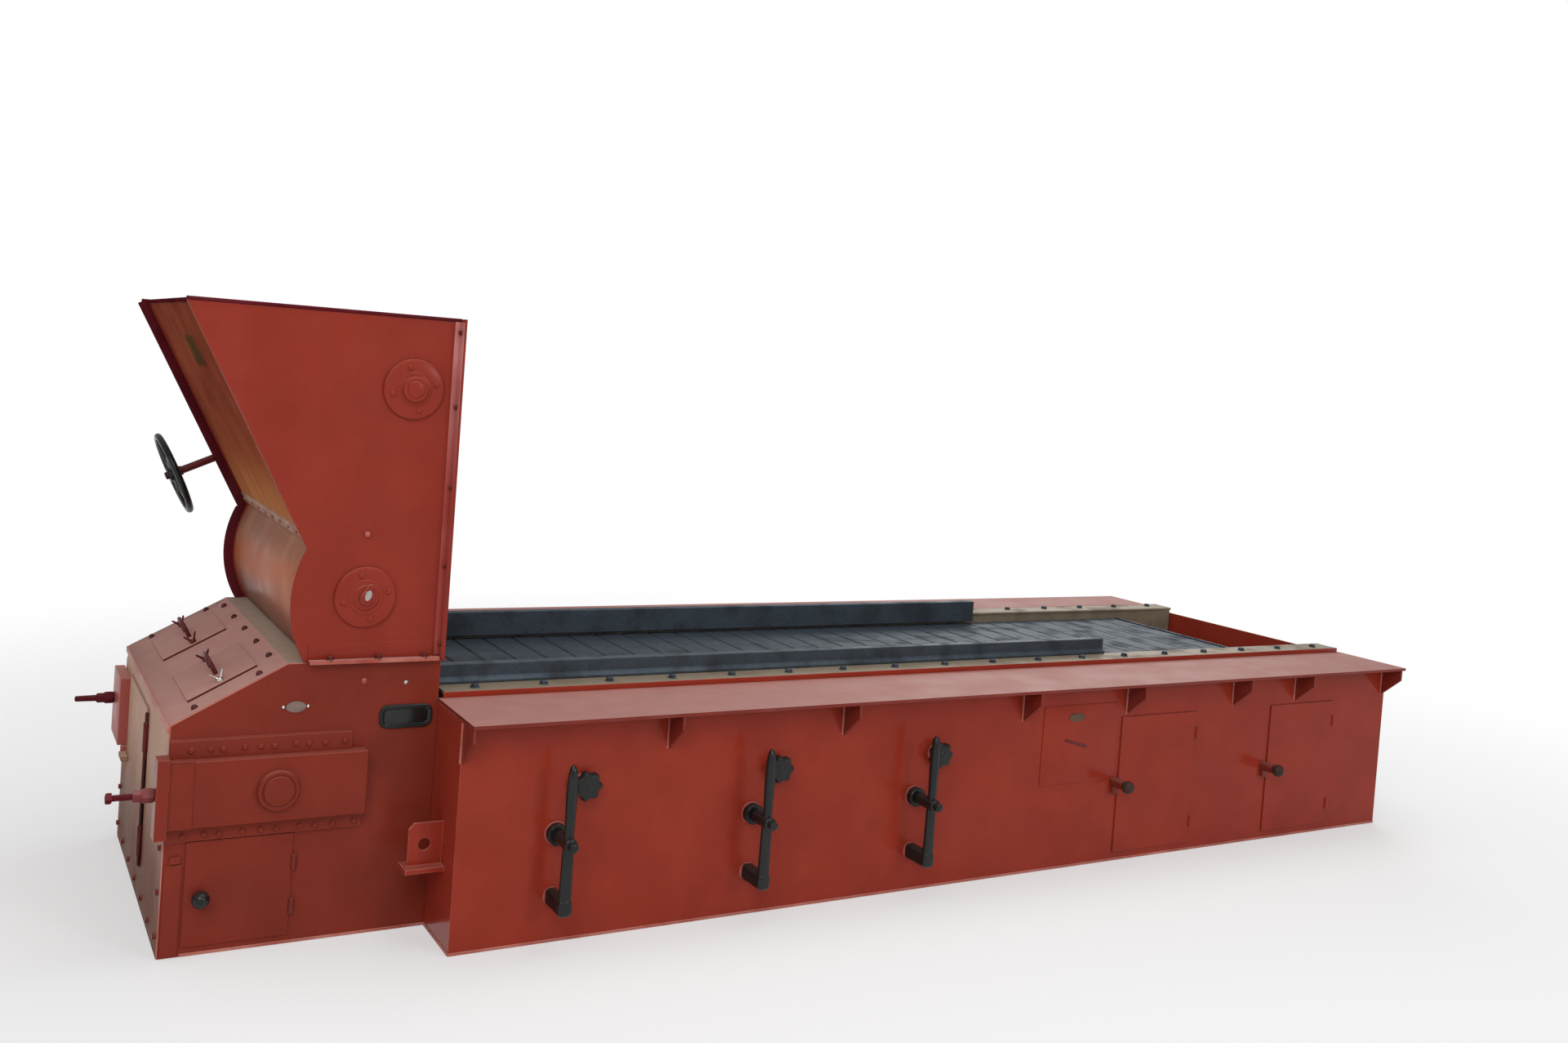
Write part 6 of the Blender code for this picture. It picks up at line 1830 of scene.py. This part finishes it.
@dataclass
class Doors:
    """Side door, front door, the rear doors and their latches."""

    knob_radius: float = 0.027
    stem_radius: float = 0.0135
    leaf_gap: float = 0.004
    knuckle_radius: float = 0.008
    knuckle_half: float = 0.025
    knuckle_in: float = 0.095
    side_knob_in: float = 0.047
    side_knob_height: float = 0.190
    tongue_width: float = 0.026
    tongue_over: float = 0.006
    tongue_rise: float = 0.0098

    def knob(self, stand: float) -> Surface:
        """Return a ball knob: a turned sphere, radius r sin t at height stand - r cos t, on a short neck.

        Args:
            stand: Height of the ball's centre.

        Returns:
            The knob.
        """
        angle = np.linspace(0.35, math.pi - 0.12, 15)
        r = self.knob_radius
        ball = [(r * math.sin(t), stand - r * math.cos(t)) for t in angle]
        neck = [(self.stem_radius, stand - 1.25 * r), (self.stem_radius, stand - 1.02 * r)]
        return turned(neck + ball, 32)

    def side_door(self) -> None:
        """Make the side door's leaf, hinge knuckles and knob."""
        low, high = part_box("side_door")
        wall, tall = high[1], high[2] - low[2]
        right = axis_of("side_door_hinge")[0][0]
        width = right - self.leaf_gap - low[0]
        leaf = slab((width, tall), thick=0.006, corner=0.005, edge=0.002)
        leaf = leaf.put(NEAR, (low[0] + width / 2, wall, (low[2] + high[2]) / 2))
        show("side_door_leaf", leaf, Coat.FRONT, "side_leaf", stands_for=("side_door",))
        knuckle = barrel(self.knuckle_radius, (-self.knuckle_half, self.knuckle_half), (0.001, 0.001), 20)
        heights = (self.knuckle_in, tall - self.knuckle_in)
        places = [(right, wall - self.knuckle_radius, low[2] + z) for z in heights]
        show("side_door_knuckles", knuckle.copies(places, UPRIGHT), Coat.SHADE, "side_leaf")
        place = (low[0] + self.side_knob_in, wall, self.side_knob_height)
        stand = wall - low[1] - self.knob_radius
        washer = turned(((0.020, 0.005), (0.020, 0.008), (0.012, 0.010), (0.012, stand - 0.03)), 24)
        show("side_door_washer", washer.put(NEAR, place), Coat.ROD, "side_leaf")
        show("side_door_knob", self.knob(stand).put(NEAR, place), Coat.BLACK, "side_leaf", Slot.BLACK)

    def latch(self, number: int) -> None:
        """Make a rear door's latch: a turned base and stem with a tongue, and a ball knob.

        Args:
            number: Number of the latch.
        """
        node, body = "rear_door_latch_%d" % number, "latch_%d" % number
        low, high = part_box(node)
        x, _, z = axis_of(body + "_turn")[0]
        wall, drop = high[1], z - low[2]
        stand = wall - low[1] - self.knob_radius
        base = turned(((0.021, 0.0), (0.021, 0.018), (0.0205, 0.020), (0.0195, stand - 0.02)), 32)
        tongue = slab((self.tongue_width, drop + self.tongue_over), thick=0.006, corner=0.008, edge=0.0015)
        tongue = tongue.put(UPRIGHT, (0.0, (self.tongue_over - drop) / 2, self.tongue_rise))
        base = joined(base, tongue).put(NEAR, (x, wall, z))
        show("latch_base_%d" % number, base, Coat.SHADE, body, Slot.BLACK, (node,))
        knob = self.knob(stand).put(NEAR, (x, wall, z))
        show("latch_knob_%d" % number, knob, Coat.KNOB, body, Slot.BLACK)

    def build(self) -> None:
        """Make and dress the doors."""
        self.side_door()
        dress("front_door", Coat.DUSTY, Coat.SHADE, 0.0015)
        for number in (1, 2):
            dress("rear_door_%d" % number, Coat.RED, Coat.SHADE, 0.0015)
            self.latch(number)


@dataclass
class Damper:
    """Air damper with its lever and star knob."""

    number: int
    hub_radius: float = 0.023
    hub_start: float = 0.943
    hub_stop: float = 1.050
    nut_radius: float = 0.0155
    bar_plane: float = 1.021
    bar_width: float = 0.041
    bar_thick: float = 0.023
    grip: Profile = ((0.0165, 0.0), (0.0165, 0.030), (0.0170, 0.060), (0.0185, 0.100), (0.0190, 0.130),
                     (0.0180, 0.165), (0.0155, 0.195), (0.0115, 0.214), (0.0060, 0.222))
    grip_start: float = 0.016
    foot_drop: float = 0.003
    stub_size: Pair = (0.046, 0.058)
    boss_radius: float = 0.0345
    boss_depth: float = 0.032
    pad: Profile = ((0.031, -0.001), (0.031, 0.002), (0.028, 0.003))
    star_radius: float = 0.046
    star_lobe: float = 0.005
    star_lobes: int = 7
    star_depth: float = 0.030
    stem_radius: float = 0.0065
    star_collar: Profile = ((0.013, -0.022), (0.016, -0.020), (0.016, -0.004), (0.012, 0.001))
    star_washer: Profile = ((0.009, -0.001), (0.036, -0.001), (0.036, 0.003), (0.033, 0.005),
                            (0.009, 0.005))

    def __post_init__(self) -> None:
        """Read the near wall's plane from the frame."""
        self.wall = -wall_plane()

    def bar(self, top: Triple, foot: float) -> Surface:
        """Return a lever's bar: a rounded section carried down from the hub, a little wider below and blunt.

        Its size goes as (0.90 + 0.16 s) times the lesser of 1 and 0.6 + 4 (1 - s), with s downward.

        Args:
            top: Middle of the hub in the bar's plane.
            foot: Height of its lower end.

        Returns:
            The bar.
        """
        share = np.linspace(0.0, 1.0, 14)
        waist = (0.90 + 0.16 * share) * np.minimum(1.0, 0.6 + 4.0 * (1.0 - share))
        section = rounded(self.bar_width, self.bar_thick, 0.009, 4)
        return swept(line(top, (top[0], top[1], foot), len(share)), section, ALONG, waist)

    def lever(self) -> None:
        """Make the lever: a turned hub, a bar below, a turned grip above and a stub towards the wall."""
        node, body = "damper_lever_%d" % self.number, "damper_%d" % self.number
        low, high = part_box(node)
        x, _, z = (float(value) for value in axis_of(body + "_turn")[0])
        depth, end = self.hub_stop - self.hub_start, -low[1] - self.hub_start
        r, n = self.hub_radius, self.nut_radius
        hub = turned(((r - 0.003, 0.0), (r, 0.003), (r, depth - 0.003), (r - 0.003, depth),
                      (n, depth + 0.001), (n, end - 0.001), (n - 0.004, end + 0.002),
                      (0.001, end + 0.003)), 32)
        hub = hub.put(NEAR, (x, -self.hub_start, z))
        top = (x, -self.bar_plane, z)
        bar = self.bar(top, low[2] + self.foot_drop)
        scale = (high[2] - z - self.grip_start) / self.grip[-1][1]
        grip = [(radius, self.grip_start + scale * height) for radius, height in self.grip]
        grip = turned(grip, 24).put(UPRIGHT, top)
        wide, tall = self.stub_size
        foot = low[2] + tall / 2 - self.foot_drop
        stub = slab(self.stub_size, thick=self.bar_plane + high[1], corner=0.016, edge=0.003)
        stub = stub.put(NEAR, (x, high[1], foot))
        elbow = slab((wide + 0.003, tall), thick=self.bar_thick + 0.004, corner=0.018, edge=0.008)
        elbow = elbow.put(NEAR, (x, -self.bar_plane + self.bar_thick / 2 + 0.002, foot))
        handle = joined(hub, bar, grip, stub, elbow)
        show("damper_handle_%d" % self.number, handle, Coat.BLACK, body, Slot.BLACK, (node,))
        dress("damper_shaft_%d" % self.number, Coat.STEEL, None)
        self.boss((x, self.wall, z))
        # The pad's pale red is a painted highlight round the foot of the stub.
        pad = turned(self.pad, 28).put(NEAR, (x, self.wall, foot))
        show("damper_pad_%d" % self.number, pad, Coat.FLANGE)

    def boss(self, place: Triple) -> None:
        """Make the black sleeve round the damper's boss, and the pale ring at its root: two turned rings.

        Args:
            place: Middle of the boss on the wall.
        """
        r, h = self.boss_radius, self.boss_depth
        sleeve = turned(((r, 0.004), (r + 0.002, 0.004), (r + 0.002, h - 0.002), (r - 0.001, h + 0.0015),
                         (0.015, h + 0.0015), (0.015, h + 0.0005), (r, h + 0.0005)), 36, True)
        show("damper_sleeve_%d" % self.number, sleeve.put(NEAR, place), Coat.BLACK, slot=Slot.BLACK)
        # The ring's pale red is a painted highlight round the boss.
        ring = turned(((r, -0.001), (r + 0.005, -0.001), (r + 0.005, 0.003), (r + 0.003, 0.004), (r, 0.004)),
                      36, True)
        show("damper_ring_%d" % self.number, ring.put(NEAR, place), Coat.FLANGE)

    def star(self) -> None:
        """Make the star knob: a lobed plate with rounded edges, a boss and a stem."""
        node, body = "damper_knob_%d" % self.number, "knob_%d" % self.number
        low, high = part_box(node)
        x, _, z = axis_of(body + "_turn")[0]
        depth = self.star_depth
        y = low[1] + depth
        head = plate(lobed(self.star_radius, self.star_lobe, self.star_lobes), thick=depth, edge=0.008)
        boss = turned(((0.014, 0.02), (0.014, depth), (0.010, depth + 0.002)), 24)
        stem = turned(((self.stem_radius, y - high[1]), (self.stem_radius, 0.004)), 16)
        collar = turned(self.star_collar, 24)
        washer = turned(self.star_washer, 28, True).put(NEAR, (x, self.wall, z))
        show("star_washer_%d" % self.number, washer, Coat.EDGE)
        knob = joined(head, boss, stem, collar).put(NEAR, (x, y, z))
        show("star_knob_%d" % self.number, knob, Coat.BLACK, body, Slot.BLACK, (node,))

    def build(self) -> None:
        """Make and dress the damper."""
        self.lever()
        self.star()


def stand(item: bpy.types.Object, place: Triple, turn: Array) -> None:
    """Set an object in place, turned by a matrix of three columns, and link it to the scene."""
    item.matrix_world = Matrix.Translation(place) @ Matrix(turn.tolist()).to_4x4()
    bpy.context.scene.collection.objects.link(item)


@dataclass
class Studio:
    """Floor, light and camera."""

    position: Triple = (-3.3365, -5.3322, 1.9624)
    yaw: float = math.radians(30.49)
    pitch: float = math.radians(-1.758)
    roll: float = math.radians(4.267)
    lens: float = 32.735
    shift: Pair = (-0.0052, -0.0656)
    sensor: float = 36.0
    sight: float = 300.0
    floor_colour: Colour = srgb(236, 236, 236)
    floor_height: float = -0.001
    floor_rings: Sequence[float] = (0.0001, 6.0, 14.0, 60.0)
    floor_fade: Pair = (2.4, 6.5)
    floor_white: float = 0.42
    sky: float = 0.42

    def camera(self) -> None:
        """Set the camera: forward from yaw and pitch, then rolled about it."""
        level, rise = math.cos(self.pitch), math.sin(self.pitch)
        forward = np.array((math.sin(self.yaw) * level, math.cos(self.yaw) * level, rise))
        right = np.array((math.cos(self.yaw), -math.sin(self.yaw), 0.0))
        raised = np.cross(right, forward)
        c, s = math.cos(self.roll), math.sin(self.roll)
        turn = np.stack((c * right + s * raised, c * raised - s * right, -forward), -1)
        data = bpy.data.cameras.new("photo_camera")
        data.lens = self.lens
        data.sensor_width = self.sensor
        data.shift_x, data.shift_y = self.shift
        data.clip_end = self.sight
        camera = bpy.data.objects.new("photo_camera", data)
        stand(camera, self.position, turn)
        bpy.context.scene.camera = camera

    def floor(self) -> None:
        """Lay a pale round floor of flat rings, (r cos a, r sin a), just below height 0."""
        rings = turned([(reach, self.floor_height) for reach in self.floor_rings], 96)
        mesh = bpy.data.meshes.new("studio_floor")
        mesh.from_pydata(rings.points.tolist(), [], rings.faces[0].tolist())
        mesh.materials.append(self.floor_finish())
        piece = bpy.data.objects.new("studio_floor", mesh)
        bpy.context.scene.collection.objects.link(piece)

    def floor_finish(self) -> bpy.types.Material:
        """Make the floor's material, which fades to white away from the stoker.

        Returns:
            The material.
        """
        sketch = Sketch("pale_floor")
        sketch.feed(sketch.shader.inputs["Base Color"], self.floor_colour)
        sketch.shader.inputs["Roughness"].default_value = 0.9
        sketch.shader.inputs["Specular IOR Level"].default_value = 0.1
        away = sketch.add("ShaderNodeVectorMath", operation="LENGTH")
        sketch.feed(away.inputs[0], sketch.coordinates.outputs["Object"])
        path = sketch.add("ShaderNodeLightPath")
        seen = sketch.math("MAXIMUM", path.outputs["Is Camera Ray"], path.outputs["Is Glossy Ray"])
        fade = sketch.step(away.outputs["Value"], *self.floor_fade, bottom=self.floor_white)
        fade = sketch.math("MULTIPLY", fade, seen)
        white = sketch.add("ShaderNodeEmission")
        blend = sketch.add("ShaderNodeMixShader")
        sketch.feed(blend.inputs[0], fade)
        sketch.feed(blend.inputs[1], sketch.shader.outputs[0])
        sketch.feed(blend.inputs[2], white.outputs[0])
        output = next(node for node in sketch.tree.nodes if node.type == "OUTPUT_MATERIAL")
        sketch.feed(output.inputs["Surface"], blend.outputs[0])
        return sketch.material

    def world(self) -> None:
        """Light softly all round, and show plain white behind."""
        world = bpy.data.worlds.new("studio")
        bpy.context.scene.world = world
        world.use_nodes = True
        tree = world.node_tree
        tree.nodes.clear()
        path = tree.nodes.new("ShaderNodeLightPath")
        seen = tree.nodes.new("ShaderNodeMath")
        seen.operation = "MAXIMUM"
        tree.links.new(path.outputs["Is Camera Ray"], seen.inputs[0])
        tree.links.new(path.outputs["Is Transmission Ray"], seen.inputs[1])
        blend = tree.nodes.new("ShaderNodeMixShader")
        tree.links.new(seen.outputs[0], blend.inputs[0])
        for index, strength in ((1, self.sky), (2, 1.0)):
            white = tree.nodes.new("ShaderNodeBackground")
            white.inputs["Color"].default_value = (1.0, 1.0, 1.0, 1.0)
            white.inputs["Strength"].default_value = strength
            tree.links.new(white.outputs[0], blend.inputs[index])
        output = tree.nodes.new("ShaderNodeOutputWorld")
        tree.links.new(blend.outputs[0], output.inputs["Surface"])

    def lamp(self, name: str, place: Triple, aim: Triple, size: Pair, power: float) -> None:
        """Hang a soft lamp.

        Args:
            name: Name of the lamp.
            place: Where it hangs.
            aim: What it looks at.
            size: Its width and height.
            power: Its power in watts.
        """
        data = bpy.data.lights.new(name, "AREA")
        data.shape = "RECTANGLE"
        data.size, data.size_y = size
        data.energy = power
        away = np.subtract(place, aim) / np.linalg.norm(np.subtract(place, aim))
        right = np.cross((0.0, 0.0, 1.0), away)
        right = right / np.linalg.norm(right)
        turn = np.stack((right, np.cross(away, right), away), -1)
        stand(bpy.data.objects.new(name, data), place, turn)

    def build(self) -> None:
        """Set the whole studio."""
        self.camera()
        self.floor()
        self.world()
        self.lamp("key_lamp", place=(-4.9, -6.3, 5.4), aim=(-0.9, 0.0, 0.8), size=(5.0, 3.5), power=245.0)
        self.lamp("side_lamp", place=(2.6, -9.0, 3.6), aim=(-0.6, -0.6, 0.6), size=(1.2, 1.2), power=105.0)
        self.lamp("top_lamp", place=(0.5, -0.5, 6.5), aim=(0.2, 0.0, 0.5), size=(6.0, 4.0), power=170.0)
        self.lamp("rear_lamp", place=(5.5, 4.5, 4.5), aim=(0.0, 0.0, 0.6), size=(4.0, 3.0), power=120.0)
        bpy.context.scene.view_settings.view_transform = "Standard"


def clear_start() -> None:
    """Remove the objects that a new file starts with."""
    for name in ("Cube", "Camera", "Light"):
        if name in bpy.data.objects:
            bpy.data.objects.remove(bpy.data.objects[name])


def main() -> None:
    """Build the looks."""
    logging.basicConfig(level=logging.INFO, format="%(message)s")
    clear_start()
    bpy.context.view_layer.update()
    Studio().build()
    box = FrontBox()
    hatches = (Hatch(box, flank) for flank in Flank)
    for assembly in (box, *hatches, *map(TakeUp, Flank), Hopper(), GateDrive(), GrateBody(), Grate(), Doors(),
                     *map(Damper, (1, 2, 3))):
        assembly.build()
        LOG.info("%s finished", type(assembly).__name__)


if __name__ == "__main__":
    main()
